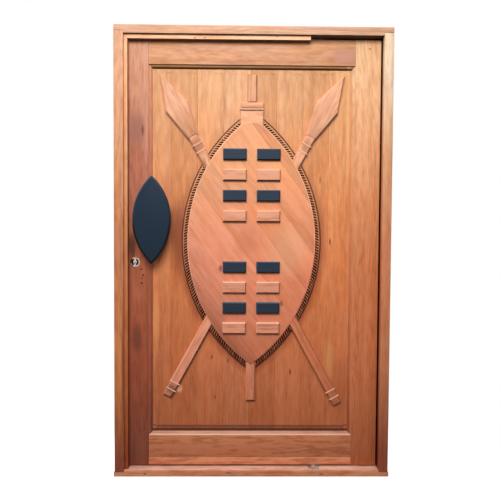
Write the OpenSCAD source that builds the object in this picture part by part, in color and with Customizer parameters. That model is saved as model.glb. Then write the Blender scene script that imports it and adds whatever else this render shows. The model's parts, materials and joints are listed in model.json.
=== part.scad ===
// Hardwood pivot door in its own frame, closed.
// The leaf turns on a floor spindle and a top pin, a quarter of its width in from the right edge.
// Left of the pivot the stops are in front of the leaf, right of it they are behind, so the latch
// side swings away from the viewer. Lengths are in millimetres: X to the right, Y away from the
// viewer, Z up. The origin is on the floor, midway along the sill, in the plane of the pivot.

/* [Leaf] */
// Width of the leaf
leaf_w = 1200; // [1100:5:1300]
// Height of the leaf
leaf_h = 2032; // [1960:2:2200]
// Thickness of the leaf
leaf_t = 44; // [42:1:54]
// Width of the stile on the latch side
left_stile_w = 105; // [95:1:120]
// Width of the stile on the pivot side
right_stile_w = 120; // [100:1:140]
// Width of the top rail
top_rail_w = 122; // [100:1:140]
// Width of the bottom rail above the kick rail
bottom_rail_w = 106; // [90:1:130]
// Width of the kick rail, the lowest board of the leaf
kick_rail_w = 40; // [38:1:60]

/* [Frame] */
// Width of the jambs, seen from the front
jamb_w = 44; // [36:1:70]
// Height of the head
head_t = 39; // [30:1:60]
// Height of the sill
sill_t = 30; // [24:1:50]
// How far the frame stands in front of the leaf
frame_front = 44; // [30:1:70]
// How far the frame reaches behind the leaf
frame_back = 22; // [20:1:60]
// Depth to which the jambs are let into the sill
sill_housing = 9; // [5:1:14]
// Depth to which the jambs are let into the head
head_housing = 13; // [6:1:18]
// Overhang of the sill beyond each jamb
sill_horn = 4; // [1:1:10]
// Radius of the sill's front edge
sill_round = 6; // [2:1:10]
// Gap between the leaf and each jamb
side_gap = 4; // [3:0.5:6]
// Gap between the leaf and the head
top_gap = 4; // [3:0.5:6]
// Gap between the leaf and the sill
bottom_gap = 5; // [4:0.5:8]

/* [Stops] */
// Width of the upright stops, seen from the front
stop_w = 17; // [14:1:28]
// Height of the head stops, seen from the front
head_stop_h = 19; // [14:1:28]
// Thickness of the rear stops
stop_t = 21; // [12:1:21]
// Thickness of the front stops as a share of the depth from the frame's face to the gap at the leaf
front_stop_share = 0.7; // [0.4:0.05:0.9]
// Gap between the closed leaf and a stop
stop_gap = 1; // [0.5:0.1:3]
// Distance from the pivot axis to the end of each head stop
stop_clear = 37; // [34:1:60]

/* [Pivot] */
// Distance of the pivot axis from the leaf's right edge
pivot_inset = 300; // [240:5:400]
// Diameter of the floor spindle
spindle_d = 16; // [12:1:18]
// Height of the spindle above the sill
spindle_h = 30; // [22:1:32]
// Width of the floor plate
floor_plate_w = 58; // [44:1:70]
// Diameter of the top pin
top_pin_d = 14; // [10:1:16]
// Length of the top pin inside the leaf
top_pin_h = 18; // [12:1:24]

/* [Panel] */
// Number of upright boards in the panel
board_count = 8; // [6:1:8]
// Width of the bead round the panel
bead_w = 18; // [14:1:24]
// Depth of the panel's field below the face of the leaf
field_inset = 4; // [2:0.5:6]
// Width of the bevel round the panel's field
bevel_w = 26; // [16:1:34]
// Depth of the bevel below the field
bevel_drop = 8; // [4:0.5:10]
// Thickness of the lip that the boards rest on
lip_t = 12; // [8:1:14]
// Thickness of the tongues between the boards
tongue_t = 8; // [5:0.5:9]
// Length of the tongues between the boards
tongue_l = 8; // [5:0.5:12]

/* [Shield] */
// Width of the shield as a share of the panel's width between the beads
shield_w_share = 0.645; // [0.58:0.005:0.67]
// Height of the shield as a share of the panel's height between the beads
shield_h_share = 0.68; // [0.64:0.005:0.7]
// Height of the shield's middle above the panel's middle, as a share of the panel's height
shield_rise_share = 0.03; // [0.02:0.002:0.04]
// Thickness of the shield
shield_t = 22; // [14:1:26]
// Bevel on the shield's rim
shield_bevel = 5; // [2:0.5:8]
// Width of the diagonal boards as a share of the shield's breadth across them
shield_board_share = 0.1675; // [0.16:0.0025:0.18]
// Slope of the diagonal boards
shield_board_slope = 53.5; // [48:0.5:60]
// Width of the notched border round the shield
border_w = 28; // [18:1:34]
// Thickness of the border
border_t = 10; // [6:0.5:14]
// Spacing of the notches along the border
notch_pitch = 13; // [10:0.5:30]
// Width of each notch
notch_w = 5.5; // [2:0.5:8]

/* [Blocks on the shield] */
// Width of each block as a share of the shield's width
block_w_share = 0.1815; // [0.15:0.0005:0.2]
// Height of each block as a share of the row spacing
block_h_share = 0.545; // [0.4:0.005:0.7]
// Thickness of each block
block_t = 16; // [8:1:22]
// Gap between the two columns of blocks as a share of the shield's width
block_gap_share = 0.0805; // [0.04:0.0005:0.09]
// Spacing of the rows within a group as a share of the shield's height
row_pitch_share = 0.082; // [0.07:0.0005:0.085]
// Distance from the middle of the blocks to the nearest row, as a share of the shield's height
row_start_share = 0.102; // [0.09:0.001:0.105]

/* [Spears and staff] */
// Height that is left between the spear tips and the bead above them
spear_top_clear = 31; // [15:1:45]
// Width that is left between the spear tips and the bead beside them
spear_side_clear = 35; // [28:1:60]
// Length of the spear head as a share of the distance from the crossing to the tip
spear_head_share = 0.365; // [0.3:0.005:0.38]
// Width of the spear head as a share of its length
spear_head_w_share = 0.35; // [0.26:0.005:0.37]
// Width of the shafts of the spears
shaft_w = 47; // [36:1:56]
// Thickness of the spears and the staff
spear_t = 18; // [12:1:24]
// Height that is left between the butt at the lower right and the bead below it
right_butt_clear = 138; // [110:1:170]
// Height that is left between the butt at the lower left and the bead below it
left_butt_clear = 176; // [110:1:200]
// Width of the staff
staff_w = 46; // [36:1:60]
// Height that is left between the staff and the bead above it
staff_top_clear = 27; // [10:1:60]
// Height that is left between the staff and the bead below it
staff_bottom_clear = 154; // [120:1:190]

/* [Pull handle] */
// Width of the handle plate
handle_w = 179; // [120:1:190]
// Height of the handle plate
handle_h = 412; // [320:1:460]
// Thickness of the handle plate
handle_t = 18; // [10:1:24]
// Gap for the fingers behind the handle plate
handle_gap = 45; // [40:1:60]
// Height of the handle's middle above the lock cylinder
handle_rise = 199; // [170:1:240]
// Distance of the handle's middle from the leaf's left edge
handle_inset = 129; // [115:1:135]

/* [Lock] */
// Height of the lock cylinder above the foot of the leaf
lock_z = 980; // [930:1:1060]
// Distance of the lock cylinder from the leaf's left edge
backset = 42; // [38:1:48]
// Diameter of the roses
rose_d = 48; // [44:1:54]
// Travel of the deadbolt
bolt_throw = 20; // [12:1:22]

/* [Wall fixings] */
// Diameter of the fixing holes through the jambs
fixing_d = 10; // [6:0.5:14]
// Spacing of the holes in each pair
fixing_pitch = 500; // [400:5:560]
// Distance of the outer holes from the sill and the head
fixing_inset = 220; // [150:5:260]

/* [Hidden] */
$fn = 96;
// Facets of the large arcs of the shield
arc_facets = 360;
// Overrun of every cut
over = 1;
// Sliding clearance of glued and planted pieces
fit = 0.2;
// Thickness of a glue line
glue = 0.1;
// Radial clearance of turning pieces
turn_fit = 0.05;

// Colours
pale_wood = "#e9b88c";
red_wood = "#a5623f";
warm_wood = "#d09468";
shield_wood = "#dc9a6c";
spear_wood = "#c9855a";
navy_paint = "#28374b";
steel = "#b8babd";
chrome = "#d9dcdf";
brass = "#b9975b";

// Planes and edges of the leaf
front = -leaf_t / 2;
back = leaf_t / 2;
leaf_left = -leaf_w / 2;
leaf_right = leaf_w / 2;
leaf_bottom = sill_t + bottom_gap;
leaf_top = leaf_bottom + leaf_h;
pivot_x = leaf_right - pivot_inset;

// Planes and edges of the frame
frame_y0 = front - frame_front;
front_stop_t = front_stop_share * (frame_front - stop_gap);
frame_y1 = back + frame_back;
frame_in = leaf_w / 2 + side_gap;
frame_out = frame_in + jamb_w;
head_bottom = leaf_top + top_gap;
head_top = head_bottom + head_t;
jamb_foot = sill_t - sill_housing;
jamb_top = head_bottom + head_housing;

// Opening for the panel, between the stiles and rails
open_left = leaf_left + left_stile_w;
open_right = leaf_right - right_stile_w;
kick_top = leaf_bottom + kick_rail_w;
open_bottom = kick_top + bottom_rail_w;
open_top = leaf_top - top_rail_w;

// Levels of the panel, from the field towards the back
field_y = front + field_inset;
edge_y = field_y + bevel_drop;
board_back = back - lip_t;
// Play of the boards in the rebate
panel_play = 2;
panel_left = open_left + panel_play;
panel_right = open_right - panel_play;
// Shares of the panel's width that the first and the last board take
first_board_share = 0.107;
last_board_share = 0.124;
mid_board_share = (1 - first_board_share - last_board_share) / (board_count - 2);
// Bevel at the long edges of the boards
board_v = 1.5;

// Bead section: a small splay, a flat and a quarter round
bead_splay = 3;
bead_round = edge_y - front - bead_splay;

// Tenons of the rails
tenon_t = leaf_t / 3;
tenon_l = 60;
tenon_shoulder = 10;

// Room for the ornament, between the beads
room_left = open_left + bead_w;
room_right = open_right - bead_w;
room_bottom = open_bottom + bead_w;
room_top = open_top - bead_w;
room_h = room_top - room_bottom;

// Shield, in the middle of the panel's width
ornament_x = (room_left + room_right) / 2;
shield_z = (room_bottom + room_top) / 2 + room_h * shield_rise_share;
shield_half_w = (room_right - room_left) * shield_w_share / 2;
shield_half_h = room_h * shield_h_share / 2;
shield_y = field_y - shield_t;
shield_r = lens_radius(shield_half_w, shield_half_h);
// Half of the shield's breadth across the diagonal boards, and the width of one board
shield_breadth = shield_r - (shield_r - shield_half_w) * sin(shield_board_slope);
shield_board_w = 2 * shield_breadth * shield_board_share;
// First joint between the diagonal boards, as a share of a board, measured from the middle
first_joint_share = -0.442;
shield_board_count = 7;
// Round crown of the shield: half its width, and the angle at which it meets the sides
crown_half = 45;
crown_corner = 15;
crown_z = sqrt(pow(shield_r, 2) - pow(shield_r - shield_half_w + crown_half, 2));
crown_slope = atan2(shield_r - shield_half_w + crown_half, crown_z) - crown_corner;
crown_r = crown_half / sin(crown_slope);
crown_mid = crown_z - crown_r * cos(crown_slope);
// Foot of the cut that leaves the crown, below the corners where it meets the sides
crown_foot_share = 0.3;
crown_foot = crown_z - crown_half * crown_foot_share;
shield_v = 1.2;
// Slant of the notches in the border, and the share of its thickness that they cut away
notch_slant = 30;
notch_depth_share = 0.7;
// Notched rope along the inner side of the border, and the plain ledge outside it
rope_share = 0.6;
rope_w = border_w * rope_share;
ledge_share = 0.4;
ledge_t = border_t * ledge_share;
// Arc of each half of the rope
rope_r = shield_r + rope_w / 2;
rope_reach = acos((shield_r - shield_half_w) / rope_r);
notch_step = notch_pitch / rope_r * 180 / PI;
notch_half_count = floor(rope_reach / notch_step);

// Blocks on the shield
block_bevel = 4;
row_count = 4;
block_w = 2 * shield_half_w * block_w_share;
block_gap = 2 * shield_half_w * block_gap_share;
row_pitch = 2 * shield_half_h * row_pitch_share;
row_start = 2 * shield_half_h * row_start_share;
block_h = row_pitch * block_h_share;

// Raised bands across the spears and the neck: their width, and how far they stand out in front and at
// the sides
band_w = 5;
band_rise = 2;
band_side = 1;

// Neck and collar at the top of the shield
neck_w = 109;
neck_rise = 26;
neck_foot = shield_z + shield_half_h - neck_w;
neck_top = shield_z + shield_half_h + neck_rise;
// Levels of the neck, the groove above it and its collar, each measured from the one before
neck_drop = 4;
groove_drop = 4;
collar_stand = 3;
neck_t = shield_t - neck_drop;
groove_h = 5;
groove_t = neck_t - groove_drop;
collar_h = 29;
collar_t = neck_t + collar_stand;
band_bottom = neck_top + groove_h;
collar_bottom = band_bottom + band_w;
collar_top = collar_bottom + collar_h;
neck_bevel = 4;

// Spears and staff, with the crossing a little below the shield's middle
cross_drop = 13;
cross_z = shield_z - cross_drop;
tip_out = (room_right - room_left) / 2 - spear_side_clear;
tip_up = room_top - spear_top_clear - cross_z;
spear_lean = atan2(tip_out, tip_up);
spear_tip = norm([tip_out, tip_up]);
spear_head_l = spear_tip * spear_head_share;
spear_head_w = spear_head_l * spear_head_w_share;
right_butt_l = (cross_z - room_bottom - right_butt_clear) / cos(spear_lean);
left_butt_l = (cross_z - room_bottom - left_butt_clear) / cos(spear_lean);
staff_end_top = room_top - staff_top_clear;
staff_end_bottom = room_bottom + staff_bottom_clear;
spear_bevel = 6;
spear_base = spear_tip - spear_head_l;
// How far the head stands out from the shaft at its sides and at its face
socket_side = 2;
socket_rise = 2;
// Place of the widest point along the head, as a share of its length from the base
spear_widest_share = 0.49;
spear_widest = spear_base + spear_head_l * spear_widest_share;
// Inner end of the shafts, behind the shield's edge, where they are cut to fit it
shaft_inner = shield_half_w;
// Places of the two raised bands, below the head and above the butt
band_first = 39;
band_pitch = 37;
band_places = [band_first, band_first + band_pitch];
// Width of the butt, and the length over which it widens to the shaft
butt_w = 41;
butt_taper = 96;

// Pull handle
handle_x = leaf_left + handle_inset;
handle_mid = leaf_bottom + lock_z + handle_rise;
handle_bevel = 4;
post_d = 22;
post_pitch = 180;
post_inset = 78;
post_x = leaf_left + post_inset;
handle_bolt_d = 10;
handle_bolt_reach = 25;
handle_bolt_head_d = 24;
handle_bolt_head_h = 6;
// Shares of the bolt head that its straight rim and its flat crown take
bolt_rim_share = 0.35;
bolt_crown_share = 0.5;
plate_back = front - handle_gap;

// Lock
lock_x = leaf_left + backset;
lock_mid = leaf_bottom + lock_z;
cylinder_d = 17;
cylinder_tail_w = 10;
cylinder_h = 33;
cylinder_stand = 5;
plug_d = 13;
plug_fit = 0.15;
cam_r = 15;
cam_w = 8;
cam_t = 9;
cam_gap = 0.3;
// Radius that the corners of the cam need as it turns
cam_sweep = norm([cam_r, cam_w / 2]) + cam_gap;
keyway_w = 2.2;
keyway_h = 8;
keyway_l = 18;
rose_t = 5;
rose_bevel = 2;
case_t = 16;
case_wall = 1.5;
case_tail = 26;
case_l = backset + case_tail;
case_drop = 42;
case_rise = 70;
faceplate_t = 3;
faceplate_w = 22;
faceplate_end = 22;
bolt_h = 28;
bolt_w = case_t - 2 * case_wall - 2 * fit;
bolt_l = 46;
// Height of the deadbolt over the sweep of the cam
bolt_clear = 1;
bolt_mid = lock_mid + cam_sweep + bolt_h / 2 + bolt_clear;
bolt_sink = 0.5;
strike_t = 3;
strike_w = 26;
strike_end = 36;
pocket_spare = 8;
pocket_depth = bolt_throw + pocket_spare;
pocket_play = 1;
// Thickness of the jambs' core, which is as wide as the pocket
core_t = bolt_w + 2 * pocket_play;

// Radius of the lower corner at the free end of each head stop
stop_nose = 7;

// Pivot hardware
floor_plate_t = 4;
floor_plate_reach = 55;
floor_plate_tail = 35;
washer_d = 36;
shoe_l = 120;
shoe_w = 30;
shoe_roof = 6;
bush_plate_l = 90;
bush_plate_w = 28;
bush_plate_t = 4;
bush_d = 26;
bush_floor = 4;

// Radius of the two arcs of an almond shape
function lens_radius(half_w, half_h) = (half_h * half_h + half_w * half_w) / (2 * half_w);

// Left edge of a panel board, and its right edge as that of the next board
function board_edge(i) =
    let (shares = i == 1 ? 0 : first_board_share + (i - 2) * mid_board_share)
    i > board_count ? panel_right : panel_left + (panel_right - panel_left) * shares;

// A block between its lowest and its highest corner
module block(low, high) {
    translate(low) cube(high - low);
}

// A flat outline in X and Z, made solid from the plane back_y towards the viewer
module planted(back_y, thick) {
    translate([0, back_y, 0]) rotate([90, 0, 0]) linear_extrude(thick) children();
}

// An outline in Y and Z, made solid along X
module along_x(x0, x1) {
    translate([x0, 0, 0]) rotate([90, 0, 90]) linear_extrude(x1 - x0) children();
}

// A round bar along Y between two planes
module bar_y(x, z, d, y0, y1) {
    translate([x, y1, z]) rotate([90, 0, 0]) cylinder(d = d, h = y1 - y0);
}

// Inward normal of the side between two corners of an outline that runs anticlockwise
function side_normal(a, b) = [a[1] - b[1], b[0] - a[0]] / norm(b - a);

// The corners of a convex outline, each moved inwards by the same distance from both of its sides
function inset(points, by) = [
    for (i = [0 : len(points) - 1])
        let (
            before = side_normal(points[(i + len(points) - 1) % len(points)], points[i]),
            after = side_normal(points[i], points[(i + 1) % len(points)])
        )
        points[i] + (before + after) * by / (1 + before * after)
];

// A plate with a convex, straight-sided outline and bevelled front edges
module bevelled_plate(points, back_y, thick, bevel) {
    count = len(points);
    face_y = back_y - thick;
    polyhedron(
        points = concat(
            [for (p = points) [p[0], back_y, p[1]]],
            [for (p = points) [p[0], face_y + bevel, p[1]]],
            [for (p = inset(points, bevel)) [p[0], face_y, p[1]]]
        ),
        faces = concat(
            [[for (i = [0 : count - 1]) i]],
            [for (ring = [0, count], i = [0 : count - 1])
                [ring + i, ring + count + i, ring + count + (i + 1) % count, ring + (i + 1) % count]],
            [[for (i = [0 : count - 1]) 3 * count - 1 - i]]
        )
    );
}

// The corners of an upright rectangle
function rectangle(x0, x1, z0, z1) = [[x0, z0], [x1, z0], [x1, z1], [x0, z1]];

// A disc with a bevelled front rim, standing in the plane of the door
module bevelled_disc(r, thick, bevel) {
    rotate([90, 0, 0])
        rotate_extrude($fn = arc_facets)
            polygon([[0, 0], [r, 0], [r, thick - bevel], [r - bevel, thick], [0, thick]]);
}

// An almond: what two discs have in common
module lens(half_w, half_h, grow, thick, bevel) {
    r = lens_radius(half_w, half_h);
    intersection() {
        translate([half_w - r, 0, 0]) bevelled_disc(r + grow, thick, bevel);
        translate([r - half_w, 0, 0]) bevelled_disc(r + grow, thick, bevel);
    }
}

// The whole shield, grown by a margin and given a thickness
module shield_form(grow, thick, bevel) {
    translate([ornament_x, field_y, shield_z])
        difference() {
            lens(shield_half_w, shield_half_h, grow, thick, bevel);
            crown_cut(grow, thick, bevel);
        }
}

// What is cut off the pointed top of the almond, outside a disc that leaves a round crown
module crown_cut(grow, thick, bevel) {
    reach = 2 * (crown_half + border_w);
    r = crown_r + grow;
    difference() {
        block([-reach, -thick - over / 2, crown_foot], [reach, over / 2, shield_half_h + reach]);
        translate([0, 0, crown_mid])
            rotate([90, 0, 0])
                rotate_extrude($fn = arc_facets)
                    polygon([
                        [0, -over],
                        [r, -over],
                        [r, thick - bevel],
                        [r - bevel - over, thick + over],
                        [0, thick + over]
                    ]);
    }
}

// Space of the shield, for the pieces that end against its edge
module shield_space() {
    translate([0, over, 0]) shield_form(fit, shield_t + spear_t + over, 0);
}

// A spear's own axes: Z along the spear to its tip, turned to the left (-1) or the right (1)
module on_spear(side) {
    translate([ornament_x, 0, cross_z]) rotate([0, side * spear_lean, 0]) children();
}

// Frame

// Part of a jamb between two planes across it and two heights
module jamb_layer(side, y0, y1, z0, z1) {
    x0 = side < 0 ? -frame_out : frame_in;
    block([x0, y0, z0], [x0 + jamb_w, y1, z1]);
}

// Wall fixing holes through the core of a jamb
module fixing_holes(side) {
    x0 = side < 0 ? -frame_out : frame_in;
    for (z = [sill_t + fixing_inset, head_bottom - fixing_inset - fixing_pitch])
        for (step = [0, fixing_pitch])
            translate([x0 - over, 0, z + step])
                rotate([0, 90, 0])
                    cylinder(d = fixing_d, h = jamb_w + 2 * over);
}

// A jamb is glued up of a front board, a core strip and a back board. The core of the left jamb stops short
// above and below the strike, which leaves the pocket for the deadbolt.
module jamb_boards(side) {
    jamb_layer(side, frame_y0, -core_t / 2, jamb_foot, jamb_top);
    jamb_layer(side, core_t / 2, frame_y1, jamb_foot, jamb_top);
}

module jamb_core(side, z0, z1) {
    difference() {
        jamb_layer(side, glue - core_t / 2, core_t / 2 - glue, z0, z1);
        fixing_holes(side);
    }
}

module jamb_left() {
    pocket_low = bolt_mid - bolt_h / 2 - pocket_play;
    pocket_high = bolt_mid + bolt_h / 2 + pocket_play;
    color(pale_wood) {
        difference() {
            jamb_boards(-1);
            strike_space(0);
        }
        difference() {
            jamb_core(-1, jamb_foot, pocket_low);
            strike_space(0);
        }
        difference() {
            jamb_core(-1, pocket_high, jamb_top);
            strike_space(0);
        }
        block(
            [-frame_out, glue - core_t / 2, pocket_low + glue],
            [-frame_in - pocket_depth, core_t / 2 - glue, pocket_high - glue]
        );
    }
}

module jamb_right() {
    color(pale_wood) {
        jamb_boards(1);
        jamb_core(1, jamb_foot, jamb_top);
    }
}

module head() {
    color(pale_wood) difference() {
        union() {
            block([-frame_in, frame_y0, head_bottom], [frame_in, frame_y1, head_top]);
            block([-frame_out, frame_y0, head_bottom + head_housing], [frame_out, frame_y1, head_top]);
        }
        translate([pivot_x - bush_plate_l / 2, -bush_plate_w / 2, head_bottom - over])
            cube([bush_plate_l, bush_plate_w, bush_plate_t + over]);
    }
}

module sill() {
    horn = frame_out + sill_horn;
    color(red_wood) difference() {
        union() {
            block([-horn, frame_y0, 0], [horn, frame_y1, sill_t - sill_housing]);
            along_x(-frame_in, frame_in) sill_section();
        }
        block(
            [pivot_x - floor_plate_w / 2, -floor_plate_reach, sill_t - floor_plate_t],
            [pivot_x + floor_plate_w / 2, floor_plate_tail, sill_t + over]
        );
    }
}

// Section of the sill between the jambs, with a rounded front edge
module sill_section() {
    translate([frame_y0, 0]) square([frame_y1 - frame_y0, sill_t - sill_round]);
    translate([frame_y0 + sill_round, 0]) square([frame_y1 - frame_y0 - sill_round, sill_t]);
    translate([frame_y0 + sill_round, sill_t - sill_round]) circle(r = sill_round);
}

// An upright stop whose top is mitred to meet the head stop
module jamb_stop(side, y0, y1) {
    x_jamb = side * frame_in;
    x_free = side * (frame_in - stop_w);
    color(warm_wood) planted(y1, y1 - y0) polygon([
        [x_jamb, sill_t],
        [x_free, sill_t],
        [x_free, head_bottom - head_stop_h],
        [x_jamb, head_bottom]
    ]);
}

// A head stop from its mitre at a jamb to its end beside the pivot, which has a rounded lower corner
module head_stop(side, y0, y1) {
    x_end = pivot_x + side * stop_clear;
    x_nose = x_end + side * stop_nose;
    foot = head_bottom - head_stop_h;
    nose_z = foot + stop_nose;
    color(warm_wood) union() {
        planted(y1, y1 - y0) polygon([
            [side * frame_in, head_bottom],
            [side * (frame_in - stop_w), foot],
            [x_nose, foot],
            [x_nose, nose_z],
            [x_end, nose_z],
            [x_end, head_bottom]
        ]);
        bar_y(x_nose, nose_z, 2 * stop_nose, y0, y1);
    }
}

module stop_left() {
    jamb_stop(-1, front - stop_gap - front_stop_t, front - stop_gap);
}

module stop_right() {
    jamb_stop(1, back + stop_gap, back + stop_gap + stop_t);
}

module head_stop_front() {
    head_stop(-1, front - stop_gap - front_stop_t, front - stop_gap);
}

module head_stop_rear() {
    head_stop(1, back + stop_gap, back + stop_gap + stop_t);
}

// Pivot hardware

// Floor plate with its spindle, let into the sill
module floor_pivot() {
    color(steel) {
        block(
            [pivot_x - floor_plate_w / 2, -floor_plate_reach, sill_t - floor_plate_t],
            [pivot_x + floor_plate_w / 2, floor_plate_tail, sill_t]
        );
        translate([pivot_x, 0, sill_t - floor_plate_t])
            cylinder(d = spindle_d, h = floor_plate_t + spindle_h);
    }
}

// Washer that carries the leaf on the floor plate
module thrust_washer() {
    color(brass) translate([pivot_x, 0, sill_t]) difference() {
        cylinder(d = washer_d, h = bottom_gap - turn_fit);
        translate([0, 0, -over])
            cylinder(d = spindle_d + 2 * turn_fit, h = bottom_gap + 2 * over);
    }
}

// Plate in the head with the pin that reaches down into the leaf
module top_pivot() {
    color(steel) {
        translate([pivot_x - bush_plate_l / 2, -bush_plate_w / 2, head_bottom])
            cube([bush_plate_l, bush_plate_w, bush_plate_t]);
        translate([pivot_x, 0, leaf_top - top_pin_h])
            cylinder(d = top_pin_d, h = top_pin_h + top_gap + bush_plate_t);
    }
}

// Room for the pivot shoe in the foot of the leaf
module shoe_form(play) {
    block(
        [pivot_x - shoe_l / 2 - play, -shoe_w / 2 - play, leaf_bottom],
        [pivot_x + shoe_l / 2 + play, shoe_w / 2 + play, shoe_top() + play]
    );
}

function shoe_top() = sill_t + spindle_h + shoe_roof;

// Steel shoe in the kick rail, bored for the spindle
module pivot_shoe() {
    color(steel) difference() {
        shoe_form(0);
        translate([pivot_x, 0, leaf_bottom - over])
            cylinder(d = spindle_d + 2 * turn_fit, h = sill_t + spindle_h - leaf_bottom + 2 * over);
    }
}

// Flanged bush in the top of the leaf, or the room that it needs
module bush_form(play) {
    translate([pivot_x - bush_plate_l / 2 - play, -bush_plate_w / 2 - play, leaf_top - bush_plate_t - play])
        cube([bush_plate_l + 2 * play, bush_plate_w + 2 * play, bush_plate_t + play]);
    translate([pivot_x, 0, leaf_top - top_pin_h - bush_floor - play])
        cylinder(d = bush_d + 2 * play, h = top_pin_h + bush_floor);
}

module top_bush() {
    color(brass) difference() {
        bush_form(0);
        translate([pivot_x, 0, leaf_top - top_pin_h - over])
            cylinder(d = top_pin_d + 2 * turn_fit, h = top_pin_h + 2 * over);
    }
}

// Stiles and rails

// A stile between two edges, with the lip that the panel's boards rest on
module stile(x0, x1, lip_x0, lip_x1) {
    difference() {
        union() {
            block([x0, front, leaf_bottom], [x1, back, leaf_top]);
            block([lip_x0, board_back, open_bottom + bead_w], [lip_x1, back, open_top - bead_w]);
        }
        tenons(top_rail_span(), fit);
        tenons(bottom_rail_span(), fit);
        tenons(kick_rail_span(), fit);
    }
}

function top_rail_span() = [open_top, leaf_top];
function bottom_rail_span() = [kick_top, open_bottom];
function kick_rail_span() = [leaf_bottom, kick_top];

// Tenons at both ends of a rail, or the mortices for them
module tenons(span, play) {
    for (end = [[open_left - tenon_l, open_left], [open_right, open_right + tenon_l]])
        block(
            [end[0] - play, -tenon_t / 2 - play, span[0] + tenon_shoulder - play],
            [end[1] + play, tenon_t / 2 + play, span[1] - tenon_shoulder + play]
        );
}

module rail(span) {
    block([open_left, front, span[0]], [open_right, back, span[1]]);
    tenons(span, 0);
}

module stile_left() {
    color(red_wood) difference() {
        stile(leaf_left, open_left, open_left, open_left + bead_w);
        case_space(fit);
        cylinder_space(fit, leaf_t + 2 * over);
        for (z = post_places())
            bar_y(post_x, z, handle_bolt_d + 2 * fit, front - over, back + over);
    }
}

module stile_right() {
    color(pale_wood) stile(open_right, leaf_right, open_right - bead_w, open_right);
}

module top_rail() {
    color(warm_wood) difference() {
        union() {
            rail(top_rail_span());
            block([open_left, board_back, open_top - bead_w], [open_right, back, open_top]);
        }
        bush_form(fit);
        translate([pivot_x - bush_plate_l / 2 - fit, -bush_plate_w / 2 - fit, leaf_top - over])
            cube([bush_plate_l + 2 * fit, bush_plate_w + 2 * fit, 2 * over]);
    }
}

module bottom_rail() {
    color(red_wood) {
        rail(bottom_rail_span());
        block([open_left, board_back, open_bottom], [open_right, back, open_bottom + bead_w]);
    }
}

module kick_rail() {
    color(red_wood) difference() {
        rail(kick_rail_span());
        shoe_form(fit);
        translate([0, 0, -over]) shoe_form(fit);
    }
}

// Panel

// Outline of a board in X and Y: bevelled arrises, a tongue on the right and a groove on the left
function board_outline(x0, x1, groove, tongue) = concat(
    [[x0, board_back], [x1, board_back]],
    tongue ? notch_points(x1, tongue_l, tongue_t / 2, 1) : [],
    [[x1, field_y + board_v], [x1 - board_v, field_y]],
    [[x0 + board_v, field_y], [x0, field_y + board_v]],
    groove ? notch_points(x0, tongue_l + fit, tongue_t / 2 + fit, -1) : []
);

// Four corners of a tongue or groove at the plane x, from the back forwards or from the front back
function notch_points(x, depth, half, way) = [
    [x, tongue_mid() + way * half],
    [x + depth, tongue_mid() + way * half],
    [x + depth, tongue_mid() - way * half],
    [x, tongue_mid() - way * half]
];

function tongue_mid() = (edge_y + board_back) / 2;

// The wood that the bevel removes above the field, from its inner edge outwards, in Y and out
function bevel_points(inner, rim, outer) = [
    [field_y - over, inner],
    [field_y, inner],
    [edge_y, rim],
    [edge_y, outer],
    [field_y - over, outer]
];

function swapped(points) = [for (p = points) [p[1], p[0]]];

module bevel_cuts() {
    along_x(open_left, open_right) {
        polygon(bevel_points(room_top - bevel_w, room_top, open_top));
        polygon(bevel_points(room_bottom + bevel_w, room_bottom, open_bottom));
    }
    translate([0, 0, open_bottom]) linear_extrude(open_top - open_bottom) {
        polygon(swapped(bevel_points(room_left + bevel_w, room_left, open_left)));
        polygon(swapped(bevel_points(room_right - bevel_w, room_right, open_right)));
    }
}

module panel_board(i) {
    color(warm_wood) difference() {
        translate([0, 0, open_bottom + panel_play])
            linear_extrude(open_top - open_bottom - 2 * panel_play)
                polygon(board_outline(board_edge(i), board_edge(i + 1), i > 1, i < board_count));
        bevel_cuts();
    }
}

// A mitred bead along X from the origin, with its width along Z: a splay, a flat and a quarter round
module bead(length) {
    round_z = bead_w - bead_round;
    color(warm_wood) intersection() {
        union() {
            along_x(0, length) polygon([
                [edge_y, 0],
                [front, 0],
                [front + bead_splay, bead_splay],
                [front + bead_splay, round_z],
                [edge_y, round_z]
            ]);
            intersection() {
                along_x(0, length) translate([edge_y, round_z]) circle(r = bead_round);
                block([0, front, bead_splay], [length, edge_y, bead_w]);
            }
        }
        planted(edge_y, edge_y - front) polygon([
            [0, 0],
            [length, 0],
            [length - bead_w, bead_w],
            [bead_w, bead_w]
        ]);
    }
}

module bead_bottom() {
    translate([open_left, 0, open_bottom]) bead(open_right - open_left);
}

module bead_right() {
    translate([open_right, 0, open_bottom]) rotate([0, -90, 0]) bead(open_top - open_bottom);
}

module bead_top() {
    translate([open_right, 0, open_top]) rotate([0, 180, 0]) bead(open_right - open_left);
}

module bead_left() {
    translate([open_left, 0, open_top]) rotate([0, 90, 0]) bead(open_top - open_bottom);
}

// Shield

// Distance of the joint below diagonal board i from the shield's middle
function shield_joint(i) =
    shield_board_w * (first_joint_share + i - ceil(shield_board_count / 2));

// A strip of wood across the whole shield, with bevelled arrises
module shield_strip(i) {
    reach = shield_half_w + shield_half_h;
    low = i == 1 ? -reach : shield_joint(i);
    high = i == shield_board_count ? reach : shield_joint(i + 1);
    translate([ornament_x, 0, shield_z])
        rotate([0, shield_board_slope, 0])
            along_x(-reach, reach)
                polygon([
                    [field_y, low],
                    [field_y, high],
                    [shield_y + shield_v, high],
                    [shield_y, high - shield_v],
                    [shield_y, low + shield_v],
                    [shield_y + shield_v, low]
                ]);
}

module shield_board(i) {
    color(shield_wood) intersection() {
        shield_form(0, shield_t, shield_bevel);
        shield_strip(i);
    }
}

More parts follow.
